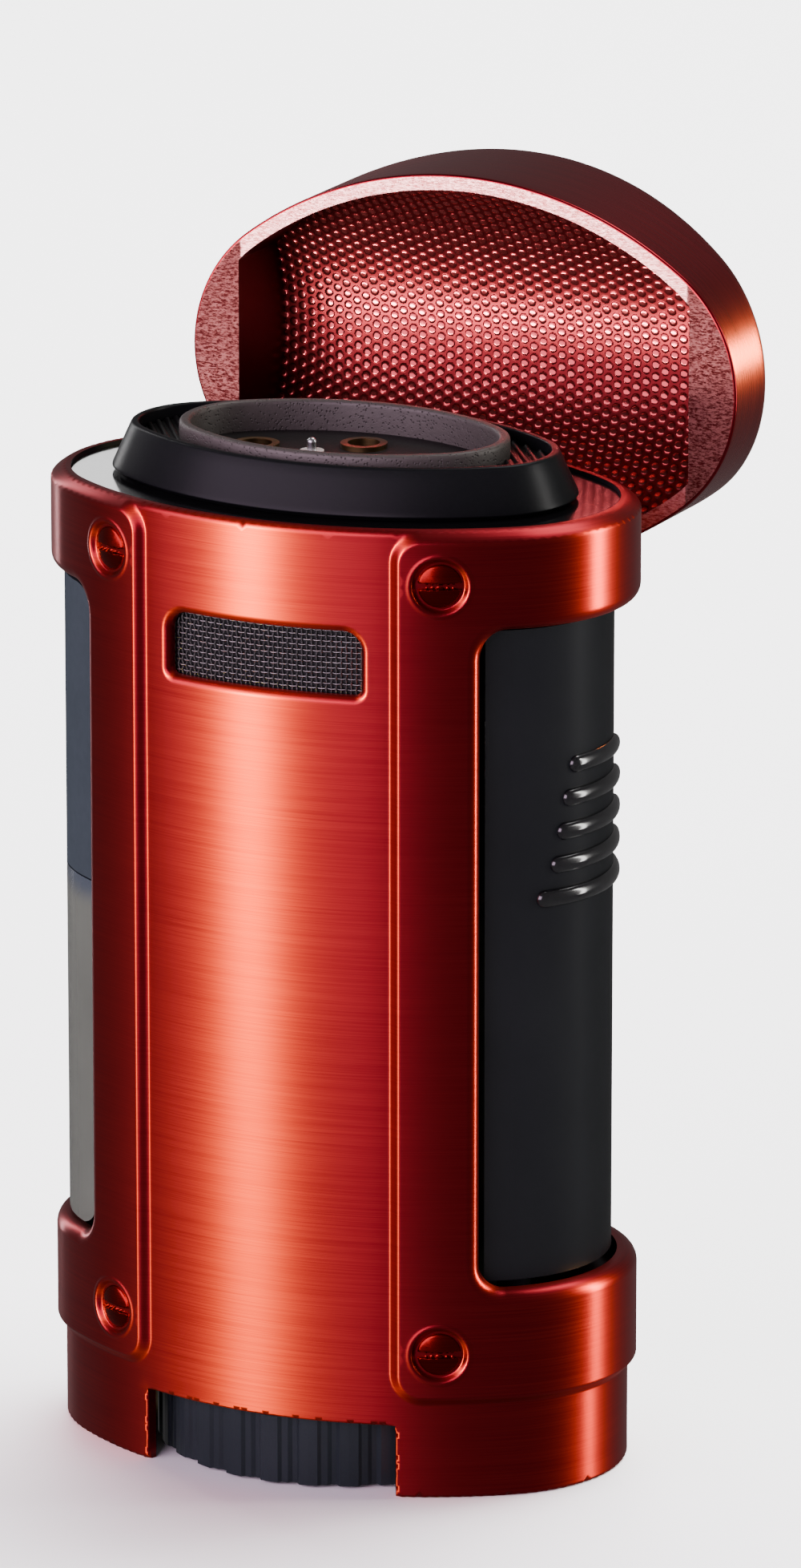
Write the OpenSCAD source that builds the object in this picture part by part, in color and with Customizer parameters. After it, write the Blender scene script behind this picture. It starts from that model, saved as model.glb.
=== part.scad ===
// Pocket torch lighter: four gas jets behind a wind collar, a spring-opened hinged lid,
// a side trigger that fires a piezo igniter, and a flame wheel in the base.
// The origin is the centre of the casing's bottom edge. X is the width, -Y the front, Z up.
// The lid is drawn open by a right angle, and the trigger out.

/* [Casing] */
// Height from the bottom edge to the rim
case_h = 61.2; // [58:0.1:64]
// End radius of the oval outline, at the centre panel and the skirt
case_r = 9.06; // [9:0.01:9.1]
// Thickness of the wall at the centre panel
case_wall = 0.7; // [0.6:0.05:0.8]
// How far the two side frames stand proud of the centre panel
frame_step = 0.54; // [0.4:0.02:0.7]
// Distance of a side frame's inner edge from the middle
frame_in_x = 8.45; // [8:0.05:9]
// Height of the side frames' bottom edge
frame_z0 = 6.33; // [6:0.01:7]
// Corner radius of the side frames and the side openings
frame_corner = 1.7; // [1:0.1:2]

/* [Openings] */
// Distance of the side openings' edges from the middle
side_in_x = 13.1; // [12.9:0.1:13.4]
// Bottom of the side openings
side_z0 = 13.3; // [13:0.1:14]
// Top of the side openings
side_z1 = 55.0; // [54.6:0.1:55.2]
// Half width of the air window
vent_half_w = 6.5; // [5:0.1:7]
// Bottom of the air window
vent_z0 = 50.8; // [50:0.1:51]
// Top of the air window
vent_z1 = 54.8; // [54:0.1:55]
// Half width of the notches for the flame wheel
notch_half_w = 8.5; // [8:0.1:8.6]
// Height of the notches for the flame wheel
notch_h = 4.65; // [4:0.05:5]

/* [Lid] */
// End radius of the lid's oval outline
lid_r = 9.3; // [9:0.05:9.4]
// Height of the lid at its middle
lid_h = 9.6; // [9:0.1:11]
// How much lower the lid's ends are than its middle
lid_drop = 4.2; // [3:0.1:5]
// Distance of the hinge axis behind the middle
hinge_y = 10.05; // [9.9:0.05:10.1]
// Height of the hinge axis
hinge_z = 54.35; // [54.2:0.05:54.5]
// Opening angle of the lid as drawn
lid_open = 90; // [0:1:90]

/* [Burner] */
// Height of the wind collar's top edge
collar_z1 = 64.05; // [63.8:0.05:64.2]
// Height of the flame ring's top edge
ring_z1 = 64.5; // [64.3:0.05:64.7]
// Distance of the outer jets from the middle
jet_x = 6.0; // [5.5:0.1:6.2]
// Distance of the front and rear jets from the middle
jet_y = 2.8; // [2.5:0.1:3]

/* [Trigger] */
// End radius of the trigger's oval outline
trigger_r = 8.0; // [7.8:0.05:8.1]
// Number of grip ribs
rib_count = 5; // [3:1:5]
// Distance between grip ribs
rib_pitch = 2.04; // [1.8:0.02:2.1]
// Height of the lowest grip rib
rib_z0 = 37.65; // [36:0.05:38]

/* [Flame wheel] */
// Radius of the flame wheel
wheel_r = 11.75; // [11.5:0.05:11.8]
// Number of grip teeth
wheel_teeth = 29; // [24:1:32]

/* [Hidden] */
$fn = 96;
coil_steps = 16;
coil_sides = 8;

// Oval outlines are built from four arcs: two end arcs and two flat arcs.
end_c = 9.4;
flat_c = 12.45;
collar_end_c = 8.9;
collar_flat_c = 11.46;
ring_end_c = 5.35;
ring_flat_c = 7.13;

frame_r = case_r + frame_step;
cavity_r = case_r - case_wall;
inner_r = cavity_r - 0.06;
post_r = inner_r - 1.4;
core_r = 6.0;

lid_gap = 0.1;
lid_plane = case_h + lid_gap;
trough_half_x = 15.5;
trough_radius = 13.64;
trough_depth = 7.2;
liner_t = 0.5;
arm_half_w = 5.1;
arm_t = 1.0;
rivet_w = 4.4;
slot_half_w = 6.5;

deck_z0 = 60.2;
deck_z1 = 60.95;
collar_r0 = 6.25;
collar_r1 = 5.05;
ring_r = 5.3;
grille_z0 = 62.9;
grille_z1 = 63.5;
plate_z0 = 62.1;
plate_z1 = 62.6;
block_z0 = 51.0;
block_z1 = 57.0;
jets = [[-jet_x, 0], [0, -jet_y], [0, jet_y], [jet_x, 0]];
spark_x = -2.2;
lead_y = 2.6;
lead_z = 49.6;
lead_top_z = 58.2;
port_z = 41.6;
tube_y = -4.3;

screw_x = 11.2;
screw_zs = [9.4, 57.9];
screw_head_r = 1.4;
screw_head_h = 0.5;
screw_shank_r = 0.8;
screw_len = 3.1;

trigger_pin_x = 13.6;
trigger_pin_z = 15.0;
trigger_pin_r = 0.8;
trigger_z0 = side_z0 + 0.3;
trigger_z1 = side_z1 - 0.3;
trigger_wall = 1.2;
rib_proud = 0.42;

base_z0 = 4.9;
base_z1 = 5.9;
foot_z1 = 11.8;
head_z0 = 55.6;
wheel_z0 = 0.2;
wheel_z1 = 4.5;
tank_z0 = 6.9;
tank_z1 = 36.0;
tank_x1 = 10.0;
cap_z0 = 36.4;
cap_z1 = 38.0;
spindle_r = 1.2;
fill_x = -13.6;

piezo_y = 5.0;
piezo_z = 43.7;
lever_pin_x = 4.2;
lever_pin_z = 46.2;

// Four-arc oval with end radius r. The arcs share the radial lines through the end centres.
module oval(r, e = end_c, f = flat_c) {
    lean = norm([e, f]);
    far = 3;
    wing = [e + far * e, far * f];
    intersection() {
        translate([0, f]) circle(r = r + lean);
        translate([0, -f]) circle(r = r + lean);
        polygon([[e, 0], wing, [-wing[0], wing[1]], [-e, 0], -wing, [wing[0], -wing[1]]]);
    }
    for (side = [-1, 1])
        scale_x(side) intersection() {
            translate([e, 0]) circle(r = r);
            polygon([[e, 0], [wing[0], -wing[1]], wing]);
        }
}

// Keeps its children, or mirrors them left to right when side is -1.
module scale_x(side) {
    mirror([side < 0 ? 1 : 0, 0, 0]) children();
}

// Straight oval block from z0 to z1.
module block(r, z0, z1, e = end_c, f = flat_c) {
    translate([0, 0, z0]) linear_extrude(z1 - z0) oval(r, e, f);
}

// Oval ring between end radii r_in and r_out.
module ring(r_out, r_in, z0, z1, e = end_c, f = flat_c) {
    difference() {
        block(r_out, z0, z1, e, f);
        block(r_in, z0 - 1, z1 + 1, e, f);
    }
}

// Oval block whose end radius goes from r0 at z0 to r1 at z1.
module tapered(r0, r1, z0, z1, e, f) {
    lean = norm([e, f]);
    far = 3;
    h = z1 - z0;
    wing = [e + far * e, far * f];
    translate([0, 0, z0]) {
        intersection() {
            translate([0, f, 0]) cylinder(h = h, r1 = r0 + lean, r2 = r1 + lean);
            translate([0, -f, 0]) cylinder(h = h, r1 = r0 + lean, r2 = r1 + lean);
            linear_extrude(h)
                polygon([[e, 0], wing, [-wing[0], wing[1]], [-e, 0], -wing, [wing[0], -wing[1]]]);
        }
        for (side = [-1, 1])
            scale_x(side) intersection() {
                translate([e, 0, 0]) cylinder(h = h, r1 = r0, r2 = r1);
                linear_extrude(h) polygon([[e, 0], [wing[0], -wing[1]], wing]);
            }
    }
}

// Box from corner a to corner b.
module box(a, b) {
    translate(a) cube(b - a);
}

// Rectangle from corner a to corner b with round corners.
module rounded(a, b, r) {
    translate([a[0] + r, a[1]]) square([b[0] - a[0] - 2 * r, b[1] - a[1]]);
    translate([a[0], a[1] + r]) square([b[0] - a[0], b[1] - a[1] - 2 * r]);
    for (x = [a[0] + r, b[0] - r], y = [a[1] + r, b[1] - r])
        translate([x, y]) circle(r = r);
}

// Stands a drawing made in X and Z up, from y0 to y1.
module along_y(y0, y1) {
    translate([0, y1, 0]) rotate([90, 0, 0]) linear_extrude(y1 - y0) children();
}

// Rod of radius r from point a along X.
module rod_x(a, length, r) {
    translate(a) rotate([0, 90, 0]) cylinder(h = length, r = r);
}

// Rod of radius r, centred on point c, along Y.
module rod_y(c, length, r) {
    translate(c) rotate([90, 0, 0]) cylinder(h = length, r = r, center = true);
}

// Points around the wire at ring i of a coil about Z, with a straight leg at each end.
function coil_ring(i, last, coil_r, wire, turns, pitch, leg) =
    let (
        k = min(max(i - 1, 0), last - 2),
        a = k * 360 / coil_steps,
        out = [cos(a), sin(a), 0],
        ahead = [-sin(a), cos(a), 0],
        slide = i == 0 ? -leg : i == last ? leg : 0,
        middle = coil_r * out + slide * ahead + [0, 0, pitch * (k / coil_steps - turns / 2)]
    )
    [for (j = [0:coil_sides - 1])
        let (b = j * 360 / coil_sides) middle + wire * (cos(b) * out + sin(b) * [0, 0, 1])];

// Wire coil about Z, centred on the origin.
module coil(coil_r, wire, turns, pitch, leg) {
    last = turns * coil_steps + 2;
    rings = [for (i = [0:last]) each coil_ring(i, last, coil_r, wire, turns, pitch, leg)];
    sides = [for (i = [0:last - 1], j = [0:coil_sides - 1])
        let (next = (j + 1) % coil_sides, here = i * coil_sides, above = here + coil_sides)
            [here + j, here + next, above + next, above + j]];
    start = [for (j = [coil_sides - 1:-1:0]) j];
    end = [for (j = [0:coil_sides - 1]) last * coil_sides + j];
    polyhedron(points = rings, faces = concat(sides, [start, end]));
}

// Round wire or tube along a route of right-angled corners, with a bend at each corner.
module wire(route, r, bend) {
    last = len(route) - 1;
    for (i = [0:last - 1]) {
        step = route[i + 1] - route[i];
        ahead = step / norm(step);
        from = route[i] + (i == 0 ? 0 : bend) * ahead;
        to = route[i + 1] - (i == last - 1 ? 0 : bend) * ahead;
        flat = cross([0, 0, 1], ahead);
        across = norm(flat) < 0.5 ? [1, 0, 0] : flat;
        place(across, cross(ahead, across), ahead, from) cylinder(h = norm(to - from), r = r);
    }
    for (i = [1:last - 1]) {
        before = (route[i] - route[i - 1]) / norm(route[i] - route[i - 1]);
        after = (route[i + 1] - route[i]) / norm(route[i + 1] - route[i]);
        place(-after, before, cross(-after, before), route[i] - bend * before + bend * after)
            rotate_extrude(angle = 90) translate([bend, 0]) circle(r = r);
    }
}

// Moves its children to point p, with their axes along u, v and w.
module place(u, v, w, p) {
    multmatrix([[u[0], v[0], w[0], p[0]], [u[1], v[1], w[1], p[1]], [u[2], v[2], w[2], p[2]]]) children();
}

// Places a case screw's axis: its children look outward along -Y from the frame's surface.
module at_screws() {
    angle = asin(screw_x / (frame_r + norm([end_c, flat_c])));
    for (back = [0, 180], side = [-1, 1], z = screw_zs)
        rotate([0, 0, back]) translate([0, flat_c, z])
            rotate([0, 0, side * angle]) translate([0, -frame_r - norm([end_c, flat_c]), 0])
                rotate([-90, 0, 0]) children();
}

// Moves what is drawn for the closed lid to the open position. Heights count from the rim plane.
module on_lid() {
    translate([0, hinge_y, hinge_z]) rotate([-lid_open, 0, 0])
        translate([0, -hinge_y, lid_plane - hinge_z]) children();
}

// ---------------------------------------------------------------- casing

module casing() {
    color([0.72, 0.11, 0.12]) difference() {
        union() {
            block(case_r, 0, case_h);
            intersection() {
                block(frame_r, frame_z0, case_h - 0.2);
                for (side = [-1, 1])
                    scale_x(side) along_y(-20, 20)
                        rounded([frame_in_x, frame_z0], [40, case_h - 0.2], frame_corner);
            }
        }
        block(cavity_r, -1, case_h + 1);
        for (side = [-1, 1])
            scale_x(side) along_y(-20, 20) rounded([side_in_x, side_z0], [40, side_z1], frame_corner);
        along_y(-20, 0) rounded([-vent_half_w, vent_z0], [vent_half_w, vent_z1], 0.8);
        box([-notch_half_w, -20, -1], [notch_half_w, 20, notch_h]);
        box([-slot_half_w, 5, hinge_z - 1.6], [slot_half_w, 20, case_h + 1]);
        at_screws() {
            translate([0, 0, -1]) cylinder(h = 1.6, r1 = 1.9, r2 = screw_head_r + 0.1);
            translate([0, 0, -1]) cylinder(h = 4, r = screw_shank_r + 0.05);
        }
    }
}

module vent_mesh() {
    color([0.62, 0.63, 0.65]) intersection() {
        ring(cavity_r - 0.1, cavity_r - 0.4, vent_z0 - 0.6, vent_z1 + 0.5);
        box([-vent_half_w - 0.8, -20, vent_z0 - 1], [vent_half_w + 0.8, 0, vent_z1 + 1]);
    }
}

module case_screws() {
    color([0.5, 0.5, 0.52]) at_screws() translate([0, 0, 0.1]) difference() {
        union() {
            cylinder(h = screw_head_h, r = screw_head_r);
            cylinder(h = screw_len, r = screw_shank_r);
        }
        box([-2, -0.2, -1], [2, 0.2, 0.3]);
    }
}

// ---------------------------------------------------------------- chassis and base

module chassis() {
    color([0.13, 0.13, 0.14]) difference() {
        union() {
            ring(inner_r, core_r, base_z1 + 0.2, foot_z1);
            for (side = [-1, 1])
                box([12.4, side * 3.9 - 0.4, foot_z1 - 0.4], [14.3, side * 3.9 + 0.4, 16.4]);
        }
        rod_y([trigger_pin_x, 0, trigger_pin_z], 20, trigger_pin_r);
        at_screws() cylinder(h = 5, r = screw_shank_r);
        for (side = [-1, 1])
            translate([side * 16.5, 0, 6]) cylinder(h = 4, r = 0.6);
    }
}

module chassis_posts() {
    color([0.13, 0.13, 0.14]) intersection() {
        ring(inner_r, post_r, foot_z1, head_z0);
        for (side = [-1, 1])
            scale_x(side) box([8.6, -20, 11], [10.4, 20, head_z0 + 1]);
    }
}

module chassis_head() {
    color([0.13, 0.13, 0.14]) difference() {
        ring(inner_r, core_r, head_z0, deck_z0 - 0.05);
        box([-slot_half_w, 5, side_z1], [slot_half_w, 20, case_h]);
        at_screws() cylinder(h = 5, r = screw_shank_r);
    }
}

module base_plate() {
    color([0.16, 0.16, 0.17]) difference() {
        block(inner_r, base_z0, base_z1);
        translate([0, 0, base_z0 - 1]) cylinder(h = 3, r = spindle_r + 0.06);
        translate([fill_x, 0, base_z0 - 1]) cylinder(h = 3, r = 1.55);
        for (side = [-1, 1]) translate([side * 16.5, 0, base_z0 - 1]) {
            cylinder(h = 3, r = 0.65);
            cylinder(h = 1.6, r = 1.05);
        }
    }
}

module base_screws() {
    color([0.55, 0.55, 0.57])
        for (side = [-1, 1]) translate([side * 16.5, 0, base_z0 + 0.1]) difference() {
            union() {
                cylinder(h = 0.5, r = 1.0);
                cylinder(h = 3.4, r = 0.6);
            }
            box([-2, -0.15, -1], [2, 0.15, 0.25]);
        }
}

module flame_wheel() {
    root_r = wheel_r - 0.35;
    tooth = 360 / wheel_teeth;
    profile = [[-0.42, root_r], [-0.33, wheel_r], [-0.1, wheel_r + 0.01], [0.12, wheel_r],
               [0.2, wheel_r - 0.18], [0.36, wheel_r - 0.2], [0.46, root_r]];
    color([0.2, 0.23, 0.25]) difference() {
        translate([0, 0, wheel_z0]) linear_extrude(wheel_z1 - wheel_z0) polygon([
            for (i = [0:wheel_teeth - 1], p = profile)
                p[1] * [cos((i + p[0]) * tooth), sin((i + p[0]) * tooth)]
        ]);
        translate([0, 0, -1]) difference() {
            cylinder(h = 4.2, r = 9.8);
            cylinder(h = 5, r = 3);
        }
        translate([0, 0, -1]) cylinder(h = 8, r = spindle_r);
    }
}

module wheel_spindle() {
    color([0.72, 0.6, 0.34]) difference() {
        union() {
            translate([0, 0, 0.9]) cylinder(h = 39.5, r = spindle_r);
            translate([0, 0, wheel_z1]) cylinder(h = 0.3, r = 2);
        }
        translate([0, 0, 39.4]) box([-2, -0.2, 0], [2, 0.2, 2]);
    }
}

// ---------------------------------------------------------------- fuel tank and valves

// Keeps the part of its children that shows in the left opening, inset from the opening's edge.
module in_left_opening() {
    intersection() {
        children();
        scale_x(-1) along_y(-20, 20)
            rounded([side_in_x + 0.25, side_z0 + 0.3], [40, side_z1 - 0.3], frame_corner);
    }
}

// What the tank fills: a foot inside the chassis, the tank, and its window in the left opening.
module tank_form(inset) {
    intersection() {
        union() {
            block(core_r - 0.1 - inset, tank_z0 + inset, 13.4);
            block(post_r - 0.2 - inset, 12.1 + inset, tank_z1);
        }
        box([-30, -30, 0], [tank_x1 - inset, 30, 60]);
    }
    in_left_opening() block(8.8 - inset, side_z0 + 0.35 + inset, tank_z1);
    intersection() {
        block(cavity_r - 0.3 - inset, side_z0 + 0.35 + inset, tank_z1);
        box([-13.6, -30, 0], [-12.6 + inset, 30, 60]);
    }
}

module fuel_tank() {
    color([0.34, 0.37, 0.39]) difference() {
        union() {
            difference() {
                tank_form(0);
                tank_form(1.1);
            }
            translate([0, 0, tank_z0]) cylinder(h = tank_z1 - tank_z0, r = 2.3);
        }
        translate([0, 0, 0]) cylinder(h = 60, r = spindle_r + 0.15);
        translate([fill_x, 0, 0]) cylinder(h = 12, r = 1.5);
        intersection() {
            block(post_r - 1.3, tank_z1 - 1.2, tank_z1 + 1);
            difference() {
                box([-12, -30, 0], [tank_x1 - 1.1, 30, 60]);
                cylinder(h = 60, r = 2.3);
            }
        }
    }
}

module tank_top(z0, z1, inset) {
    intersection() {
        block(post_r - 0.2 - inset, z0, z1);
        box([-30, -30, z0 - 1], [tank_x1 - inset, 30, z1 + 1]);
    }
}

module tank_gasket() {
    color([0.1, 0.1, 0.1]) difference() {
        tank_top(tank_z1, cap_z0, 0);
        tank_top(tank_z1 - 1, cap_z0 + 1, 1.0);
    }
}

module tank_cap() {
    color([0.3, 0.32, 0.34]) difference() {
        tank_top(cap_z0, cap_z1, 0);
        translate([0, 0, cap_z0 - 1]) cylinder(h = 4, r = spindle_r + 0.15);
    }
}

module fill_valve() {
    color([0.78, 0.64, 0.34]) difference() {
        translate([fill_x, 0, 1]) cylinder(h = 9.5, r = 1.5);
        translate([fill_x, 0, 0]) cylinder(h = 20, r = 0.66);
        translate([fill_x, 0, 0]) cylinder(h = 2.4, r = 1.0);
    }
}

module fill_stem() {
    color([0.8, 0.8, 0.8]) translate([fill_x, 0, 1.4]) cylinder(h = 8.6, r = 0.6);
}

module valve_body() {
    color([0.78, 0.64, 0.34]) difference() {
        union() {
            translate([0, 0, cap_z1]) cylinder(h = 5.6, r = 2.2);
            rod_y([0, -2.6, port_z], 1.6, 0.9);
        }
        translate([0, 0, cap_z1 - 1]) cylinder(h = 3.6, r = spindle_r + 0.06);
        translate([0, 0, cap_z1 + 4]) cylinder(h = 3, r = 0.66);
    }
}

module valve_stem() {
    color([0.8, 0.8, 0.8]) {
        translate([0, 0, 42.3]) cylinder(h = 4.6, r = 0.6);
        translate([0, 0, 46.9]) cylinder(h = 0.5, r = 1.2);
    }
}

module valve_lever() {
    color([0.6, 0.61, 0.63]) difference() {
        along_y(-1.1, 1.1) union() {
            translate([-1.4, 45.7]) square([8.0, 1.1]);
            translate([5.5, 41.8]) square([1.1, 4.6]);
            translate([lever_pin_x, lever_pin_z]) circle(r = 1.2);
        }
        rod_y([lever_pin_x, 0, lever_pin_z], 10, 0.66);
        translate([0, 0, 45]) cylinder(h = 3, r = 0.72);
        box([-3, -0.72, 45], [0, 0.72, 48]);
    }
}

module lever_pin() {
    color([0.7, 0.7, 0.72]) {
        rod_y([lever_pin_x, 0.15, lever_pin_z], 4.6, 0.6);
        box([lever_pin_x - 0.8, -3.3, cap_z1], [lever_pin_x + 0.8, -2.15, lever_pin_z + 0.9]);
        box([lever_pin_x - 0.8, 1.5, cap_z1], [lever_pin_x + 0.8, 2.2, lever_pin_z + 0.9]);
    }
}

module gas_tube() {
    color([0.75, 0.75, 0.72])
        wire([[0, -3.4, port_z], [0, tube_y, port_z], [0, tube_y, block_z0 + 1]], 0.7, 0.9);
}

// ---------------------------------------------------------------- piezo igniter

module piezo_body() {
    color([0.12, 0.12, 0.13]) difference() {
        box([-8, piezo_y - 2.4, piezo_z - 3.2], [8, piezo_y + 2.4, piezo_z + 3.2]);
        box([0, piezo_y - 1.75, piezo_z - 2.25], [9, piezo_y + 1.75, piezo_z + 2.25]);
    }
}

module piezo_plunger() {
    color([0.75, 0.72, 0.64])
        box([3.2, piezo_y - 1.7, piezo_z - 2.2], [12.3, piezo_y + 1.7, piezo_z + 2.2]);
}

module spark_lead() {
    color([0.65, 0.1, 0.1]) wire([[-8, piezo_y, piezo_z], [-9.6, piezo_y, piezo_z],
                                  [-9.6, piezo_y, lead_z], [spark_x, piezo_y, lead_z],
                                  [spark_x, lead_y, lead_z], [spark_x, lead_y, lead_top_z],
                                  [spark_x, 0.3, lead_top_z]], 0.4, 1.0);
}

module spark_rod() {
    color([0.7, 0.7, 0.7]) {
        translate([spark_x, 0, 57.8]) cylinder(h = 5.5, r = 0.3);
        translate([spark_x, 0, 63.3]) sphere(r = 0.3);
    }
}

module spark_sleeve() {
    color([0.93, 0.92, 0.88]) difference() {
        translate([spark_x, 0, 58.9]) cylinder(h = 3.9, r = 0.75);
        translate([spark_x, 0, 58]) cylinder(h = 6, r = 0.3);
    }
}

// ---------------------------------------------------------------- burner

module deck_plate() {
    color([0.06, 0.06, 0.07]) difference() {
        block(inner_r, deck_z0, deck_z1);
        block(ring_r + 0.2, deck_z0 - 1, deck_z1 + 1, ring_end_c, ring_flat_c);
        box([-slot_half_w, hinge_y - 0.75, deck_z0 - 1], [slot_half_w, 20, deck_z1 + 1]);
    }
}

module collar() {
    color([0.11, 0.11, 0.12]) difference() {
        union() {
            block(collar_r0 - 0.5, deck_z1, 61.25, collar_end_c, collar_flat_c);
            tapered(collar_r0, collar_r1, 61.25, collar_z1, collar_end_c, collar_flat_c);
        }
        block(collar_r1 - 0.5, 60, 65, collar_end_c, collar_flat_c);
    }
}

module collar_grille() {
    color([0.1, 0.1, 0.1]) difference() {
        block(collar_r1 - 0.5, grille_z0, grille_z1, collar_end_c, collar_flat_c);
        block(ring_r, grille_z0 - 1, grille_z1 + 1, ring_end_c, ring_flat_c);
    }
}

module flame_ring() {
    color([0.45, 0.43, 0.4])
        ring(ring_r, ring_r - 0.7, block_z1 + 1.6, ring_z1, ring_end_c, ring_flat_c);
}

module burner_plate() {
    color([0.2, 0.2, 0.21]) difference() {
        block(ring_r - 0.7, plate_z0, plate_z1, ring_end_c, ring_flat_c);
        for (p = jets)
            translate([p[0], p[1], plate_z0 - 1]) cylinder(h = 3, r = 1.45);
        translate([spark_x, 0, plate_z0 - 1]) cylinder(h = 3, r = 0.75);
    }
}

module burner_block() {
    color([0.78, 0.64, 0.34]) difference() {
        union() {
            block(3.6, block_z0, block_z1, ring_end_c, ring_flat_c);
            ring(ring_r, ring_r - 1.6, 56, block_z1 + 1.6, ring_end_c, ring_flat_c);
            for (side = [-1, 1])
                scale_x(side) box([8, -1.5, 56], [15.15, 1.5, 57.2]);
        }
        for (p = jets)
            translate([p[0], p[1], block_z0 + 2]) cylinder(h = 10, r = 1.0);
        rod_x([-7, 0, block_z0 + 2.6], 14, 0.8);
        rod_y([0, -0.5, block_z0 + 2.6], 7.6, 0.8);
        translate([0, tube_y, block_z0 - 1]) cylinder(h = 3.6, r = 0.7);
        translate([spark_x, lead_y, block_z0 - 1]) cylinder(h = 8, r = 0.42);
    }
}

module jet(p) {
    color([0.8, 0.66, 0.36]) difference() {
        union() {
            translate([p[0], p[1], block_z1 - 2]) cylinder(h = 2, r = 1.0);
            translate([p[0], p[1], block_z1]) cylinder(h = plate_z1 + 0.3 - block_z1, r = 1.45);
        }
        translate([p[0], p[1], block_z1 - 3]) cylinder(h = 10, r = 0.45);
        translate([p[0], p[1], plate_z0 - 1]) cylinder(h = 3, r = 1.0);
    }
}

module jet_left() { jet(jets[0]); }
module jet_front() { jet(jets[1]); }
module jet_rear() { jet(jets[2]); }
module jet_right() { jet(jets[3]); }

// ---------------------------------------------------------------- lid and hinge

// The hollow under the lid: a round trough along X with upright ends.
module trough(radius, half_x) {
    rod_x([-half_x, 0, trough_depth - trough_radius], 2 * half_x, radius);
}

module lid_shell() {
    half_w = end_c + lid_r;
    crown_r = (half_w * half_w + lid_drop * lid_drop) / (2 * lid_drop);
    color([0.72, 0.11, 0.12]) on_lid() difference() {
        block(lid_r, 0, lid_h + 1);
        along_y(-20, 20) polygon([
            [-20, 20],
            for (x = [-20:20]) [x, lid_h - crown_r + sqrt(crown_r * crown_r - x * x)],
            [20, 20]
        ]);
        intersection() {
            trough(trough_radius, trough_half_x);
            block(lid_r - 1.0, -5, lid_h);
        }
        box([-arm_half_w - 0.05, hinge_y - arm_t / 2, -1], [arm_half_w + 0.05, hinge_y + arm_t / 2, 5.5]);
        for (x = [-3, 3])
            rod_y([x, hinge_y, rivet_w], 2.4, 0.5);
    }
}

module lid_liner() {
    color([0.62, 0.09, 0.1]) on_lid() difference() {
        intersection() {
            trough(trough_radius, trough_half_x - 0.05);
            block(lid_r - 1.05, 0.1, lid_h);
        }
        trough(trough_radius - liner_t, trough_half_x + 1);
        box([-arm_half_w - 0.2, hinge_y - 1.3, -1], [arm_half_w + 0.2, hinge_y + 1.3, 6]);
    }
}

module lid_arm() {
    depth = lid_plane - hinge_z;
    color([0.62, 0.63, 0.65]) on_lid() difference() {
        union() {
            box([-arm_half_w, hinge_y - arm_t / 2, -depth], [arm_half_w, hinge_y + arm_t / 2, 5.4]);
            rod_x([-arm_half_w, hinge_y, -depth], 2 * arm_half_w, 1.35);
        }
        rod_x([-10, hinge_y, -depth], 20, 0.8);
        box([-2.6, hinge_y - 2, -depth - 2], [2.6, hinge_y + 2, -depth + 1.7]);
        for (x = [-3, 3])
            rod_y([x, hinge_y, rivet_w], 4, 0.5);
    }
}

module lid_rivets() {
    color([0.5, 0.5, 0.52]) on_lid()
        for (x = [-3, 3])
            rod_y([x, hinge_y, rivet_w], 2.2, 0.5);
}

module hinge_bracket() {
    color([0.55, 0.56, 0.58]) difference() {
        union() {
            box([-slot_half_w, hinge_y - 2.5, 52.6], [slot_half_w, hinge_y - 1.8, deck_z0 - 0.1]);
            for (side = [-1, 1])
                scale_x(side) intersection() {
                    box([arm_half_w + 0.15, hinge_y - 2.5, 52.6], [slot_half_w, 20, deck_z0 - 0.1]);
                    block(inner_r, 50, 62);
                }
        }
        rod_x([-10, hinge_y, hinge_z], 20, 0.75);
    }
}

module hinge_pin() {
    color([0.75, 0.75, 0.77]) rod_x([-slot_half_w, hinge_y, hinge_z], 2 * slot_half_w, 0.75);
}

module lid_spring() {
    color([0.7, 0.7, 0.72]) translate([0, hinge_y, hinge_z]) rotate([0, 90, 0])
        coil(1.1, 0.22, 7, 0.55, 0.7);
}

// ---------------------------------------------------------------- trigger and side cover

module trigger() {
    color([0.16, 0.16, 0.17]) difference() {
        union() {
            intersection() {
                ring(trigger_r, trigger_r - trigger_wall, trigger_z0, trigger_z1);
                box([side_in_x - 0.2, -20, 0], [30, 20, 60]);
            }
            intersection() {
                block(trigger_r - 0.5, 0, 60);
                union() {
                    for (side = [-1, 1])
                        along_y(side * 2.6 - 0.8, side * 2.6 + 0.8) union() {
                            translate([trigger_pin_x, trigger_pin_z]) circle(r = 1.6);
                            translate([trigger_pin_x, trigger_z0]) square([4, 2.6]);
                        }
                    box([12.35, 3.6, piezo_z - 0.8], [20, 6.4, piezo_z + 0.1]);
                    box([9.2, -1.0, 41.9], [20, 1.0, 43.1]);
                }
            }
        }
        rod_y([trigger_pin_x, 0, trigger_pin_z], 8, trigger_pin_r + 0.06);
    }
}

// Grip ribs: the lowest is the longest, and each one above it is a little shorter.
module grip_ribs() {
    color([0.16, 0.16, 0.17])
        for (i = [0:rib_count - 1])
            intersection() {
                ring(trigger_r + rib_proud, trigger_r, rib_z0 + i * rib_pitch - rib_proud,
                     rib_z0 + i * rib_pitch + rib_proud);
                box([15.8 + 0.28 * i, -20, 0], [30, 20, 60]);
            }
}

module trigger_pin() {
    color([0.75, 0.75, 0.77]) rod_y([trigger_pin_x, 0, trigger_pin_z], 8.6, trigger_pin_r);
}

module trigger_spring() {
    color([0.7, 0.7, 0.72]) translate([trigger_pin_x, 0, trigger_pin_z]) rotate([90, 0, 0])
        coil(1.15, 0.22, 4, 0.55, 0.7);
}

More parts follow.
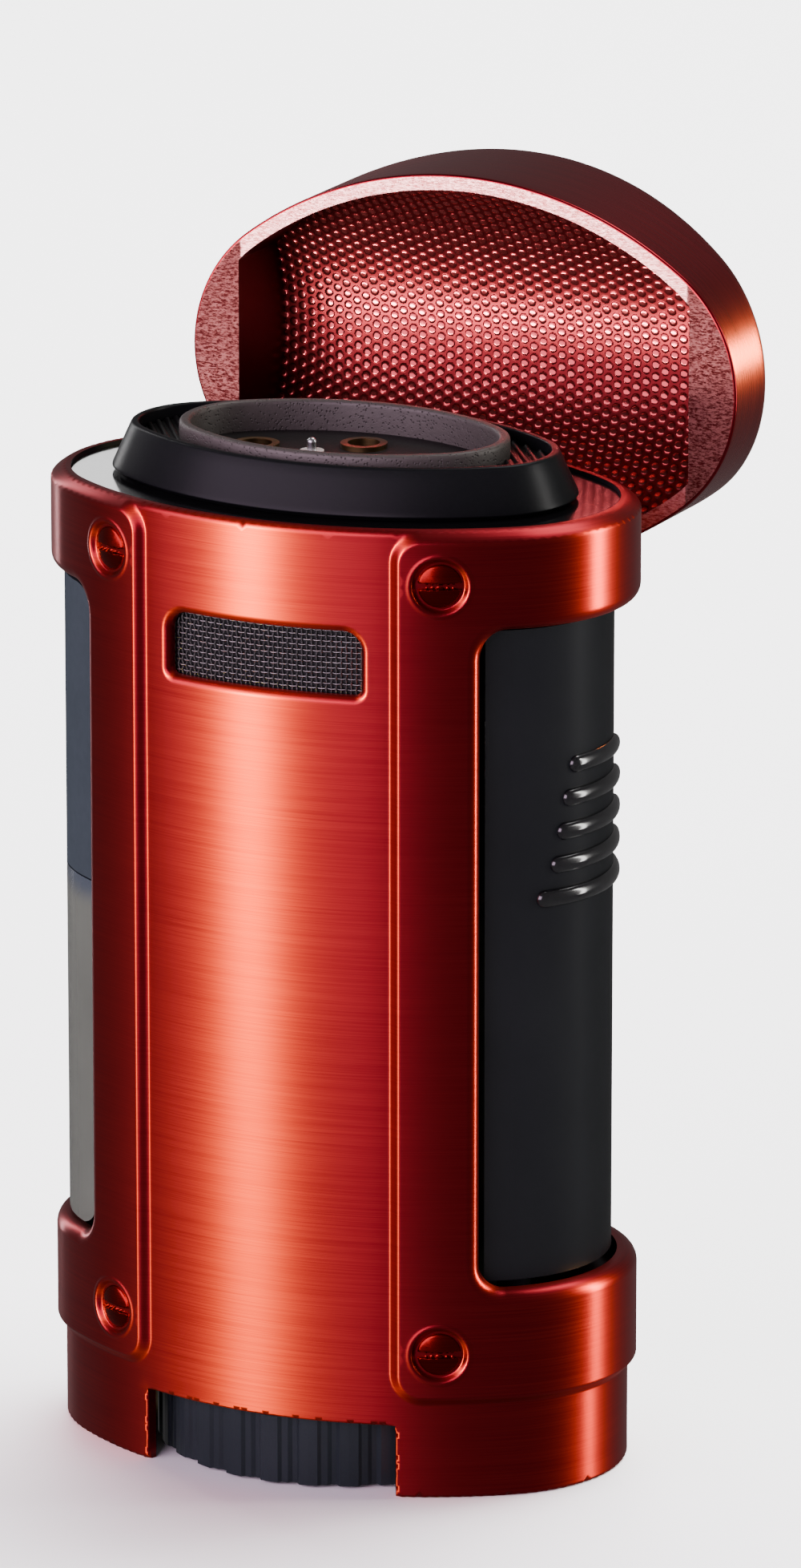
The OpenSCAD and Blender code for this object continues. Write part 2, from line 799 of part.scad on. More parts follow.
module side_cover() {
    z0 = tank_z1 + 0.1;
    color([0.2, 0.22, 0.24]) {
        in_left_opening() ring(8.8, 7.4, z0, trigger_z1);
        intersection() {
            ring(cavity_r - 0.3, 7.0, z0, trigger_z1);
            box([-14.2, -20, 0], [-12.6, 20, 60]);
        }
    }
}

casing();
vent_mesh();
case_screws();
deck_plate();
collar();
collar_grille();
flame_ring();
burner_plate();
burner_block();
jet_left();
jet_front();
jet_rear();
jet_right();
spark_rod();
spark_sleeve();
spark_lead();
lid_shell();
lid_liner();
lid_arm();
lid_rivets();
hinge_bracket();
hinge_pin();
lid_spring();
trigger();
grip_ribs();
trigger_pin();
trigger_spring();
side_cover();
fuel_tank();
tank_cap();
tank_gasket();
fill_valve();
fill_stem();
valve_body();
valve_stem();
valve_lever();
lever_pin();
gas_tube();
piezo_body();
piezo_plunger();
chassis();
chassis_posts();
chassis_head();
base_plate();
base_screws();
flame_wheel();
wheel_spindle();
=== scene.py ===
"""Looks of the four-jet torch lighter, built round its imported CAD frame."""

import logging
import math
from dataclasses import dataclass
from enum import Enum
from typing import Callable, Sequence, Union

import bpy
import numpy as np
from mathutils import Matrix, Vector
from mathutils.geometry import delaunay_2d_cdt


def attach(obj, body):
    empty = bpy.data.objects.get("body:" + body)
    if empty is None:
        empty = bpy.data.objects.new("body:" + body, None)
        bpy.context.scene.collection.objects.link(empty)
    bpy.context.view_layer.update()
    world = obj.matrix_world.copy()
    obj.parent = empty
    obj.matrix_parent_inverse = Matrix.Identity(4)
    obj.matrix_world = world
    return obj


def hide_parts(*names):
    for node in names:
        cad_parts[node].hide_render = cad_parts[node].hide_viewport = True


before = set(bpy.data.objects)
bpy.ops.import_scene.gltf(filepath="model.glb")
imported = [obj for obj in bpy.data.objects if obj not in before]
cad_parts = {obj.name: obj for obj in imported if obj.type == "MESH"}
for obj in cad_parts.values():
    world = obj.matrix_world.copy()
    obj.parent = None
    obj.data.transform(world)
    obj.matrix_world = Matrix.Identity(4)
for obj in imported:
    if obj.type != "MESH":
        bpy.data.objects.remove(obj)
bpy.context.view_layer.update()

MM = 0.001
LOG = logging.getLogger("lighter")
Colour = tuple[float, float, float]
Spot = tuple[float, float, float]
Value = Union[float, "Link"]


# ---------------------------------------------------------------- shader graphs


class Link:
    """A number socket of a shader graph that takes part in Python expressions."""

    def __init__(self, graph: "Graph", socket: bpy.types.NodeSocket) -> None:
        """Wraps one output socket.

        Args:
            graph: The graph the socket belongs to.
            socket: The output socket.
        """
        self.graph = graph
        self.socket = socket

    def _math(self, operation: str, *values: Value) -> "Link":
        """Adds a Math node.

        Args:
            operation: The node's operation.
            values: What goes into its sockets, in order.

        Returns:
            The node's result.
        """
        return self.graph.make("ShaderNodeMath", {"operation": operation}, dict(enumerate(values)))

    def __add__(self, other: Value) -> "Link":
        """Returns self + other."""
        return self._math("ADD", self, other)

    __radd__ = __add__

    def __sub__(self, other: Value) -> "Link":
        """Returns self - other."""
        return self._math("SUBTRACT", self, other)

    def __rsub__(self, other: Value) -> "Link":
        """Returns other - self."""
        return self._math("SUBTRACT", other, self)

    def __mul__(self, other: Value) -> "Link":
        """Returns self * other."""
        return self._math("MULTIPLY", self, other)

    __rmul__ = __mul__

    def above(self, edge: float, width: float) -> "Link":
        """Gives a soft mask that goes from 0 to 1 round a value.

        Args:
            edge: The value at the middle of the change.
            width: The width of the change.

        Returns:
            The mask.
        """
        ramp = {"interpolation_type": "SMOOTHSTEP", "clamp": True}
        return self.graph.make(
            "ShaderNodeMapRange", ramp, {0: self, 1: edge - width / 2, 2: edge + width / 2}
        )

    def size(self) -> "Link":
        """Returns the absolute value."""
        return self._math("ABSOLUTE", self)


class Graph:
    """The node graph of one material."""

    def __init__(self, name: str) -> None:
        """Starts an empty material.

        Args:
            name: The material's name.
        """
        self.material = bpy.data.materials.new(name)
        self.material.use_nodes = True
        self.tree = self.material.node_tree
        self.tree.nodes.clear()
        self.output = self.tree.nodes.new("ShaderNodeOutputMaterial")

    def make(self, kind: str, settings: dict, inputs: dict, output: Union[int, str] = 0) -> Link:
        """Adds one node.

        Args:
            kind: The node's type.
            settings: Its settings, set before its sockets.
            inputs: Values or links by socket name or number.
            output: The output that is returned.

        Returns:
            The chosen output.
        """
        node = self.tree.nodes.new(kind)
        for name, value in settings.items():
            setattr(node, name, value)
        for name, value in inputs.items():
            if isinstance(value, Link):
                self.tree.links.new(value.socket, node.inputs[name])
            else:
                node.inputs[name].default_value = value
        return Link(self, node.outputs[output])

    def place(self, x: float = 1.0, y: float = 1.0, z: float = 1.0) -> Link:
        """Gives the piece's own position in millimetres, stretched along each axis.

        Args:
            x: Factor along X.
            y: Factor along Y.
            z: Factor along Z.

        Returns:
            A vector.
        """
        spot = self.make("ShaderNodeTexCoord", {}, {}, "Object")
        factors = (1000.0 * x, 1000.0 * y, 1000.0 * z)
        return self.make("ShaderNodeVectorMath", {"operation": "MULTIPLY"}, {0: spot, 1: factors})

    def along(self, axis: str) -> Link:
        """Returns the position along one axis, "X", "Y" or "Z", in millimetres."""
        return self.make("ShaderNodeSeparateXYZ", {}, {0: self.place()}, axis)

    def noise(self, spot: Link, scale: float, detail: float = 2.0, rough: float = 0.5) -> Link:
        """Adds a noise texture.

        Args:
            spot: Where it is read.
            scale: Features per unit of spot.
            detail: Octaves.
            rough: How strong the finer octaves are.

        Returns:
            A value around 0.5.
        """
        inputs = {"Vector": spot, "Scale": scale, "Detail": detail, "Roughness": rough}
        return self.make("ShaderNodeTexNoise", {}, inputs, 0)

    def mix(self, share: Value, first: Union[Colour, Link], second: Union[Colour, Link]) -> Link:
        """Mixes two colours.

        Args:
            share: Share of the second colour.
            first: First colour.
            second: Second colour.

        Returns:
            The mixed colour.
        """
        one, two = (c if isinstance(c, Link) else (*c, 1.0) for c in (first, second))
        return self.make("ShaderNodeMix", {"data_type": "RGBA"}, {0: share, 6: one, 7: two}, 2)

    def bump(self, height: Link, depth_mm: float, strength: float = 1.0) -> Link:
        """Turns a height into a normal.

        Args:
            height: Height from 0 to 1.
            depth_mm: Depth of a height of 1.
            strength: Strength of the effect.

        Returns:
            The normal.
        """
        inputs = {"Height": height, "Distance": depth_mm * MM, "Strength": strength}
        return self.make("ShaderNodeBump", {}, inputs)

    def surface(self, **inputs: Union[Value, Colour]) -> bpy.types.Material:
        """Ends the graph in a Principled shader.

        Args:
            inputs: Its sockets by name, with _ for a space.

        Returns:
            The finished material.
        """
        named = {}
        for name, value in inputs.items():
            colour = isinstance(value, tuple) and len(value) == 3
            named[name.replace("_", " ")] = (*value, 1.0) if colour else value
        shader = self.make("ShaderNodeBsdfPrincipled", {}, named)
        self.tree.links.new(shader.socket, self.output.inputs[0])
        return self.material


# ---------------------------------------------------------------- finishes


class Grain(Enum):
    """Which way a brushed surface's fine lines run, as factors along and across them."""

    LEVEL = (0.1, 0.1, 18.0)
    LID = (0.12, 14.0, 0.12)
    LONG = (0.12, 9.0, 9.0)


@dataclass(frozen=True)
class Finish:
    """One kind of surface."""

    name: str

    def dress(self, graph: Graph) -> bpy.types.Material:
        """Builds the material's graph. Each finish gives its own.

        Args:
            graph: The empty graph.

        Returns:
            The material.
        """
        raise NotImplementedError

    def material(self) -> bpy.types.Material:
        """Returns the material, built once."""
        known = bpy.data.materials.get(self.name)
        return known or self.dress(Graph(self.name))


@dataclass(frozen=True)
class BrushedMetal(Finish):
    """Metal brushed in fine straight lines, plain or anodised."""

    grain: Grain = Grain.LEVEL
    dark: Colour = (0.26, 0.0095, 0.019)
    light: Colour = (0.33, 0.015, 0.024)
    roughness: float = 0.35
    anisotropy: float = 0.7
    line_depth: float = 0.0006

    def dress(self, graph: Graph) -> bpy.types.Material:
        """Builds the brushed metal.

        Args:
            graph: The empty graph.

        Returns:
            The material.
        """
        fine = graph.noise(graph.place(*self.grain.value), 1.0, 3.0, 0.6)
        broad = graph.noise(graph.place(*(0.35 * k for k in self.grain.value)), 0.6, 2.0)
        cloud = graph.noise(graph.place(), 0.09, 2.0)
        lines = fine * 0.88 + broad * 0.12
        colour = graph.mix(lines.above(0.5, 0.34), self.dark, self.light)
        rough = lines * 0.07 + cloud * 0.04 + (self.roughness - 0.055)
        return graph.surface(
            Base_Color=colour,
            Metallic=1.0,
            Roughness=rough,
            Normal=graph.bump(lines, self.line_depth, 0.6),
            Anisotropic=self.anisotropy,
            Anisotropic_Rotation=0.25,
        )


@dataclass(frozen=True)
class RimMetal(Finish):
    """Bare edge of the lid: bright brushed metal, rough and cast at its two ends."""

    land_x: float = 15.4

    def dress(self, graph: Graph) -> bpy.types.Material:
        """Builds the rim's metal.

        Args:
            graph: The empty graph.

        Returns:
            The material.
        """
        land = graph.along("X").size().above(self.land_x, 0.2)
        lines = graph.noise(graph.place(3.5, 3.5, 12.0), 1.0, 3.0, 0.7)
        grit = graph.noise(graph.place(1.6, 1.6, 5.0), 2.0, 4.0, 0.75)
        plain = graph.mix(lines.above(0.5, 0.3), (0.2, 0.05, 0.048), (0.5, 0.23, 0.215))
        cast = graph.mix(grit.above(0.5, 0.2), (0.1, 0.004, 0.005), (0.5, 0.16, 0.15))
        height = lines * (1 - land) * 0.5 + grit * land * 2.2
        return graph.surface(
            Base_Color=graph.mix(land, plain, cast),
            Metallic=0.9,
            Roughness=lines * 0.2 + 0.24,
            Normal=graph.bump(height, 0.09),
        )


@dataclass(frozen=True)
class DottedLiner(Finish):
    """Red metal sheet with round raised dots, dull between them, with painted shade in the dips between
    the dots.
    """

    def dress(self, graph: Graph) -> bpy.types.Material:
        """Builds the dotted sheet.

        Args:
            graph: The empty graph.

        Returns:
            The material.
        """
        raised = graph.make("ShaderNodeAttribute", {"attribute_name": "raised"}, {}, "Fac")
        dot = raised.above(0.45, 0.3)
        cloud = graph.noise(graph.place(), 0.5, 3.0)
        worn = graph.mix(cloud, (0.2, 0.018, 0.02), (0.3, 0.05, 0.048))
        # The near-black colour off the dots is painted shade in the dips between the raised dots.
        return graph.surface(
            Base_Color=graph.mix(dot, (0.07, 0.004, 0.005), worn),
            Metallic=0.95,
            Roughness=cloud * 0.05 + (1 - dot) * 0.2 + 0.13,
        )


@dataclass(frozen=True)
class SatinCoat(Finish):
    """Painted or moulded surface with a fine even texture."""

    colour: Colour = (0.004, 0.0045, 0.005)
    roughness: float = 0.34
    grain: float = 5.0
    depth: float = 0.004
    metallic: float = 0.0
    coat: float = 0.0
    variation: float = 0.25
    shine: float = 0.1

    def dress(self, graph: Graph) -> bpy.types.Material:
        """Builds the satin surface.

        Args:
            graph: The empty graph.

        Returns:
            The material.
        """
        fine = graph.noise(graph.place(), self.grain, 3.0, 0.6)
        cloud = graph.noise(graph.place(), 0.14, 3.0)
        lighter = tuple(min(1.0, c * (1 + self.variation) + 0.002) for c in self.colour)
        darker = tuple(c * (1 - self.variation) for c in self.colour)
        return graph.surface(
            Base_Color=graph.mix(fine * 0.5 + cloud * 0.5, darker, lighter),
            Metallic=self.metallic,
            Roughness=fine * 0.1 + cloud * 0.12 + (self.roughness - 0.11),
            Normal=graph.bump(fine, self.depth, 0.7),
            Specular_IOR_Level=self.shine,
            Coat_Weight=self.coat,
            Coat_Roughness=0.08,
        )


@dataclass(frozen=True)
class Sintered(Finish):
    """Grey-brown metal pressed from powder, full of tiny pores."""

    def dress(self, graph: Graph) -> bpy.types.Material:
        """Builds the porous metal.

        Args:
            graph: The empty graph.

        Returns:
            The material.
        """
        cells = {"Vector": graph.place(), "Scale": 4.5}
        pores = graph.make("ShaderNodeTexVoronoi", {"feature": "F1"}, cells, "Distance")
        fine = graph.noise(graph.place(), 3.4, 4.0, 0.7)
        holes = pores.above(0.22, 0.3)
        stain = graph.noise(graph.place(), 0.3, 3.0)
        warm = graph.mix(stain, (0.06, 0.052, 0.046), (0.095, 0.084, 0.074))
        return graph.surface(
            Base_Color=graph.mix(holes * 0.7 + fine * 0.3, (0.022, 0.019, 0.017), warm),
            Metallic=0.35,
            Roughness=fine * 0.2 + 0.42,
            Normal=graph.bump(holes * 0.6 + fine * 0.4, 0.05),
        )


@dataclass(frozen=True)
class SmokedWindow(Finish):
    """Smoked clear plastic over fuel: dark above the fuel's line, pale below it."""

    line_z: float = 35.2

    def dress(self, graph: Graph) -> bpy.types.Material:
        """Builds the smoked window.

        Args:
            graph: The empty graph.

        Returns:
            The material.
        """
        wave = graph.noise(graph.place(), 0.25, 2.0)
        dry = (graph.along("Z") + wave * 0.6).above(self.line_z, 1.6)
        cloud = graph.noise(graph.place(), 0.16, 3.0)
        wet = graph.mix(cloud, (0.05, 0.056, 0.046), (0.075, 0.083, 0.068))
        return graph.surface(
            Base_Color=graph.mix(dry, wet, (0.03, 0.038, 0.046)),
            Roughness=cloud * 0.08 + 0.08,
            Normal=graph.bump(cloud, 0.001, 0.4),
            Specular_IOR_Level=0.3,
            Coat_Weight=0.1,
            Coat_Roughness=0.1,
        )


RED = BrushedMetal("red_anodised")
RED_LID = BrushedMetal("red_anodised_lid", Grain.LID, anisotropy=0.0, roughness=0.27)
RED_LINER = DottedLiner("red_liner")
RIM = RimMetal("lid_rim_metal")
STEEL = BrushedMetal(
    "bright_steel", Grain.LONG, (0.5, 0.5, 0.51), (0.72, 0.72, 0.73), 0.28, 0.2, 0.003
)
RED_SCREW = BrushedMetal(
    "red_screw", Grain.LEVEL, (0.15, 0.005, 0.005), (0.22, 0.01, 0.008), 0.24, 0.1, 0.002
)
WOVEN = BrushedMetal(
    "woven_wire", Grain.LONG, (0.09, 0.09, 0.085), (0.19, 0.19, 0.18), 0.34, 0.0, 0.001
)
BRASS = BrushedMetal(
    "turned_brass", Grain.LEVEL, (0.56, 0.38, 0.13), (0.76, 0.56, 0.24), 0.3, 0.1, 0.004
)
JET_BRASS = BrushedMetal(
    "jet_brass", Grain.LEVEL, (0.14, 0.095, 0.04), (0.22, 0.15, 0.065), 0.36, 0.1, 0.003
)
SATIN_BLACK = SatinCoat("satin_black")
GRILLE_BLACK = SatinCoat("grille_black", (0.006, 0.006, 0.006), 0.3, 6.0, 0.004)
GLOSS_BLACK = SatinCoat("gloss_black", (0.004, 0.004, 0.0045), 0.16, 2.0, 0.001, 0.0, 0.5)
TRIGGER_BLACK = SatinCoat("trigger_black", (0.0045, 0.0052, 0.0065), 0.42, 9.0, 0.002, shine=0.16)
RIB_BLACK = SatinCoat("rib_black", (0.004, 0.004, 0.0045), 0.2, 6.0, 0.001, 0.0, 0.6, 0.25, 0.5)
SLATE_METAL = SatinCoat("slate_metal", (0.016, 0.021, 0.025), 0.34, 7.0, 0.003, 0.3, 0.0, 0.25, 0.3)
PANEL_GREY = SatinCoat("side_panel_slate", (0.02, 0.026, 0.03), 0.3, 2.0, 0.001, shine=0.0)
CHASSIS_BLACK = SatinCoat("chassis_black", (0.02, 0.02, 0.021), 0.5, 3.0, 0.012)
RUBBER = SatinCoat("seal_rubber", (0.012, 0.012, 0.012), 0.7, 6.0, 0.02)
CERAMIC = SatinCoat("white_ceramic", (0.72, 0.7, 0.64), 0.25, 5.0, 0.004, 0.0, 0.3, 0.06)
TUBE = SatinCoat("gas_tube", (0.58, 0.58, 0.54), 0.3, 3.0, 0.003, 0.0, 0.2, 0.08)
LEAD_RED = SatinCoat("lead_insulation", (0.3, 0.015, 0.015), 0.4, 5.0, 0.004)
SINTERED = Sintered("sintered_metal")
SOOTED = SatinCoat("sooted_metal", (0.02, 0.018, 0.017), 0.55, 4.0, 0.02, 0.5)
WINDOW = SmokedWindow("smoked_window")

CAD_FINISHES: dict[Finish, tuple[str, ...]] = {
    GLOSS_BLACK: ("deck_plate",),
    SATIN_BLACK: ("base_plate",),
    SOOTED: ("burner_plate",),
    BRASS: ("fill_valve", "valve_body", "wheel_spindle"),
    JET_BRASS: ("burner_block", "jet_left", "jet_front", "jet_rear", "jet_right"),
    STEEL: (
        "spark_rod", "lid_arm", "lid_rivets", "hinge_bracket", "hinge_pin", "lid_spring",
        "trigger_pin", "trigger_spring", "fill_stem", "valve_stem", "valve_lever", "lever_pin",
        "base_screws",
    ),
    CERAMIC: ("spark_sleeve", "piezo_plunger"),
    LEAD_RED: ("spark_lead",),
    TUBE: ("gas_tube",),
    TRIGGER_BLACK: ("trigger",),
    CHASSIS_BLACK: ("chassis", "chassis_posts", "chassis_head", "piezo_body"),
    WINDOW: ("fuel_tank",),
    PANEL_GREY: ("side_cover", "tank_cap"),
    RUBBER: ("tank_gasket",),
    SLATE_METAL: ("flame_wheel",),
}


# ---------------------------------------------------------------- mesh helpers


def unit(vectors: np.ndarray) -> np.ndarray:
    """Returns the vectors, each scaled to a length of 1."""
    return vectors / np.maximum(np.linalg.norm(vectors, axis=1, keepdims=True), 1e-12)


def at_height(flat: np.ndarray, z: Union[float, np.ndarray]) -> np.ndarray:
    """Returns coordinates with a height added, either one value or one for each."""
    return np.column_stack([flat, np.broadcast_to(z, len(flat))])


@dataclass
class Patch:
    """Part of a mesh, in millimetres."""

    points: np.ndarray
    faces: list[tuple[int, ...]]
    normals: np.ndarray | None = None
    finish: int = 0
    raised: np.ndarray | None = None

    def filled_normals(self) -> np.ndarray:
        """Returns one normal a point: the given ones, or the average of the faces round it."""
        if self.normals is not None:
            return self.normals
        total = np.zeros_like(self.points)
        for face in self.faces:
            corners = self.points[list(face)]
            area = np.cross(corners[1] - corners[0], corners[2] - corners[0])
            if len(face) > 3:
                area = np.cross(corners[2] - corners[0], corners[3] - corners[1])
            for corner in face:
                total[corner] += area
        return unit(total)

    def turned(self) -> list[tuple[int, ...]]:
        """Returns the faces, each turned to face along its points' normals."""
        if self.normals is None:
            return self.faces
        result = []
        for face in self.faces:
            a, b, c = (self.points[face[i]] for i in range(3))
            across = np.cross(b - a, c - a)
            if len(face) > 3:
                across = np.cross(c - a, self.points[face[3]] - b)
            along = self.normals[list(face)].sum(axis=0)
            result.append(face if float(np.dot(across, along)) >= 0 else face[::-1])
        return result


def grid_faces(rows: int, columns: int, closed: bool = False) -> list[tuple[int, ...]]:
    """Gives the quads of a grid of points.

    Args:
        rows: Number of rows.
        columns: Number of points in a row.
        closed: Whether each row's end joins its start.

    Returns:
        The faces.
    """
    last = columns if closed else columns - 1
    return [
        (r * columns + c, r * columns + (c + 1) % columns,
         (r + 1) * columns + (c + 1) % columns, (r + 1) * columns + c)
        for r in range(rows - 1) for c in range(last)
    ]


def sheet(
    rows: Sequence[np.ndarray], facing: np.ndarray, finish: int = 0, closed: bool = False
) -> Patch:
    """Joins rows of points into one surface.

    Args:
        rows: The rows.
        facing: One direction for all its points, or one for each point of a row.
        finish: Place of its finish in the piece's list.
        closed: Whether each row's end joins its start.

    Returns:
        The surface.
    """
    points, along = np.concatenate(rows), len(rows[0])
    repeats = len(rows) if np.ndim(facing) > 1 else len(points)
    return Patch(points, grid_faces(len(rows), along, closed), np.tile(facing, (repeats, 1)), finish)


def make_piece(
    name: str, patches: Sequence[Patch], finishes: Sequence[Finish], body: str,
    replaced: Sequence[str] = (),
) -> bpy.types.Object:
    """Makes one object of patches and gives it its body and finishes.

    Args:
        name: The object's name.
        patches: Its parts.
        finishes: Its finishes; a patch's finish is a place in this list.
        body: The body it rides on.
        replaced: CAD nodes that it stands for.

    Returns:
        The object.
    """
    points, faces, normals, finish_of, start = [], [], [], [], 0
    for patch in patches:
        points.append(patch.points)
        normals.append(patch.filled_normals())
        faces += [tuple(start + i for i in face) for face in patch.turned()]
        finish_of += [patch.finish] * len(patch.faces)
        start += len(patch.points)
    mesh = bpy.data.meshes.new(name)
    mesh.from_pydata((np.concatenate(points) * MM).tolist(), [], faces)
    for finish in finishes:
        mesh.materials.append(finish.material())
    mesh.polygons.foreach_set("material_index", finish_of)
    mesh.polygons.foreach_set("use_smooth", [True] * len(faces))
    mesh.normals_split_custom_set_from_vertices(np.concatenate(normals).tolist())
    if any(patch.raised is not None for patch in patches):
        marks = [np.zeros(len(p.points)) if p.raised is None else p.raised for p in patches]
        raised = mesh.attributes.new("raised", "FLOAT", "POINT")
        raised.data.foreach_set("value", np.concatenate(marks))
    piece = bpy.data.objects.new(name, mesh)
    bpy.context.scene.collection.objects.link(piece)
    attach(piece, body)
    if replaced:
        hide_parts(*replaced)
    LOG.info("%s: %d points, %d faces, rides on %s", name, start, len(faces), body)
    return piece


def smooth(value: np.ndarray) -> np.ndarray:
    """Returns the value clamped to 0 to 1, with a soft start and end."""
    t = np.clip(value, 0.0, 1.0)
    return t * t * (3 - 2 * t)


@dataclass(frozen=True)
class Oval:
    """Outline of two end arcs and two flat arcs, all tangent to each other, in millimetres."""

    end: float
    flat: float

    @property
    def lean(self) -> float:
        """Returns how much larger a flat arc's radius is than an end arc's."""
        return math.hypot(self.end, self.flat)

    @property
    def corner(self) -> float:
        """Returns the angle at which a flat arc meets an end arc."""
        return math.atan2(self.end, self.flat)

    def half_round(self, r: float) -> float:
        """Returns half the outline's length for end radius r."""
        return 2 * (r + self.lean) * self.corner + r * (math.pi - 2 * self.corner)

    def at(self, s: np.ndarray, r: float) -> tuple[np.ndarray, np.ndarray]:
        """Places points along the outline.

        Args:
            s: Distances from the front's middle, positive towards +X.
            r: End radius that the distances are measured at.

        Returns:
            Points and outward normals, both in X and Y.
        """
        big, corner = r + self.lean, self.corner
        side, run = np.sign(s), np.abs(s)
        flat_len = big * corner
        end_len = r * (math.pi - 2 * corner)
        on_end = (run > flat_len) & (run <= flat_len + end_len)
        on_back = run > flat_len + end_len
        angle = run / big
        angle = np.where(on_end, corner + (run - flat_len) / r, angle)
        angle = np.where(on_back, math.pi - corner + (run - flat_len - end_len) / big, angle)
        radius = np.where(on_end, r, big)
        middle_x = np.where(on_end, self.end, 0.0)
        middle_y = np.where(on_end, 0.0, np.where(on_back, -self.flat, self.flat))
        normal = np.stack([np.sin(angle), -np.cos(angle)], axis=-1)
        spot = np.stack([middle_x, middle_y], axis=-1) + radius[..., None] * normal
        flip = np.stack([np.where(side < 0, -1.0, 1.0), np.ones_like(run)], axis=-1)
        return spot * flip, normal * flip

    def depth(self, x: np.ndarray, r: float) -> np.ndarray:
        """Returns the outline's half depth at x, for end radius r."""
        big = r + self.lean
        run = np.abs(x)
        flat = np.sqrt(np.maximum(big * big - run * run, 0)) - self.flat
        end = np.sqrt(np.maximum(r * r - (run - self.end) ** 2, 0))
        return np.where(run <= big * math.sin(self.corner), flat, end)

    def samples(self, count: int, r: float) -> np.ndarray:
        """Returns evenly spaced distances right round the outline."""
        half = self.half_round(r)
        return np.linspace(-half, half, count, endpoint=False)

    def sweep(self, profile: Sequence[tuple[float, float]], count: int, ref: float) -> Patch:
        """Carries a closed profile round the outline.

        Args:
            profile: End radius and height of each of its points, going round it clockwise.
            count: Points along the outline.
            ref: End radius that the points are spaced at.

        Returns:
            The surface.
        """
        spots, out = self.at(self.samples(count, ref), ref)
        rows = [at_height(spots + (r - ref) * out, z) for r, z in profile]
        steps = unit(np.diff(np.array([*profile, profile[0]]), axis=0))
        across = np.column_stack([-steps[:, 1], steps[:, 0]])
        mean = unit(np.vstack([across[-1:], across]) + np.vstack([across, across[:1]]))
        normals = [at_height(out * m[0], m[1]) for m in mean]
        faces = grid_faces(len(profile) + 1, count, True)
        return Patch(np.concatenate([*rows, rows[0]]), faces, np.concatenate(normals))


CASE_OVAL = Oval(9.4, 12.45)
COLLAR_OVAL = Oval(8.9, 11.46)
RING_OVAL = Oval(5.35, 7.13)
EDGE_GAP = 0.7


@dataclass(frozen=True)
class Window:
    """Rectangle with round corners on the unrolled casing, in millimetres."""

    s0: float
    s1: float
    z0: float
    z1: float
    top_round: float
    foot_round: float

    def distance(self, s: np.ndarray, z: np.ndarray) -> np.ndarray:
        """Returns the distance to the edge, negative inside."""
        round_ = np.where(z > (self.z0 + self.z1) / 2, self.top_round, self.foot_round)
        across = np.abs(s - (self.s0 + self.s1) / 2) - ((self.s1 - self.s0) / 2 - round_)
        up = np.abs(z - (self.z0 + self.z1) / 2) - ((self.z1 - self.z0) / 2 - round_)
        outside = np.hypot(np.maximum(across, 0), np.maximum(up, 0))
        return outside + np.minimum(np.maximum(across, up), 0) - round_

    def loop(self, grow: float = 0.0) -> np.ndarray:
        """Gives points along the edge, or along a line at a distance from it.

        Args:
            grow: Distance outward from the edge.

        Returns:
            The points, in order.
        """
        corners = []
        for s, z, r, first in (
            (self.s1, self.z1, self.top_round, 0), (self.s0, self.z1, self.top_round, 90),
            (self.s0, self.z0, self.foot_round, 180), (self.s1, self.z0, self.foot_round, 270),
        ):
            middle = (s + (-r if s == self.s1 else r), z + (-r if z == self.z1 else r))
            reach = max(r + grow, 0.01)
            for a in np.radians(np.linspace(first, first + 90, 9)):
                corners.append((middle[0] + reach * math.cos(a), middle[1] + reach * math.sin(a)))
        return fill_steps(corners)


def fill_steps(corners: Sequence[tuple[float, float]]) -> np.ndarray:
    """Adds points along a closed line so that no gap is longer than EDGE_GAP.

    Args:
        corners: The line's corners.

    Returns:
        The points.
    """
    points = []
    for (x0, y0), (x1, y1) in zip(corners, [*corners[1:], corners[0]]):
        count = max(1, math.ceil(math.dist((x0, y0), (x1, y1)) / EDGE_GAP - 1e-9))
        points += [(x0 + (x1 - x0) * k / count, y0 + (y1 - y0) * k / count) for k in range(count)]
    return np.array(points)


def fill_region(
    loops: Sequence[np.ndarray], loose: np.ndarray, inside: Callable[[np.ndarray], np.ndarray]
) -> tuple[np.ndarray, np.ndarray]:
    """Fills a flat region with triangles.

    Args:
        loops: Closed lines that the triangles keep to.
        loose: Further points.
        inside: Tells for the triangles' middles which to keep.

    Returns:
        The points used and the triangles.
    """
    points, edges = [], []
    for loop in loops:
        start = len(points)
        points += [tuple(p) for p in loop]
        edges += [(start + i, start + (i + 1) % len(loop)) for i in range(len(loop))]
    points += [tuple(p) for p in loose]
    made = delaunay_2d_cdt([Vector(p) for p in points], edges, [], 0, 1e-5)
    spots = np.array([tuple(v) for v in made[0]])
    triangles = np.array([f for f in made[2] if len(f) == 3])
    keep = inside(spots[triangles].mean(axis=1))
    return spots, triangles[keep]


def far_from(points: np.ndarray, others: np.ndarray, gap: float) -> np.ndarray:
    """Keeps the points that lie no closer than a gap to the others.

    Args:
        points: Candidates.
        others: What they keep clear of.
        gap: Least distance.

    Returns:
        The points kept.
    """
    cell = {}
    for p in others:
        cell.setdefault((math.floor(p[0] / gap), math.floor(p[1] / gap)), []).append(p)
    kept = []
    for p in points:
        i, j = math.floor(p[0] / gap), math.floor(p[1] / gap)
        cells = [cell.get((a, b), ()) for a in (i - 1, i, i + 1) for b in (j - 1, j, j + 1)]
        if all(math.dist(p, q) >= gap for near in cells for q in near):
            kept.append(p)
    return np.array(kept).reshape(-1, 2)


def outer_edges(triangles: np.ndarray) -> list[tuple[int, int]]:
    """Returns the edges that only one triangle uses."""
    seen: dict[tuple[int, int], tuple[int, int]] = {}
    for a, b, c in triangles.tolist():
        for edge in ((a, b), (b, c), (c, a)):
            key = (min(edge), max(edge))
            if key in seen:
                del seen[key]
            else:
                seen[key] = edge
    return list(seen.values())


# ---------------------------------------------------------------- casing


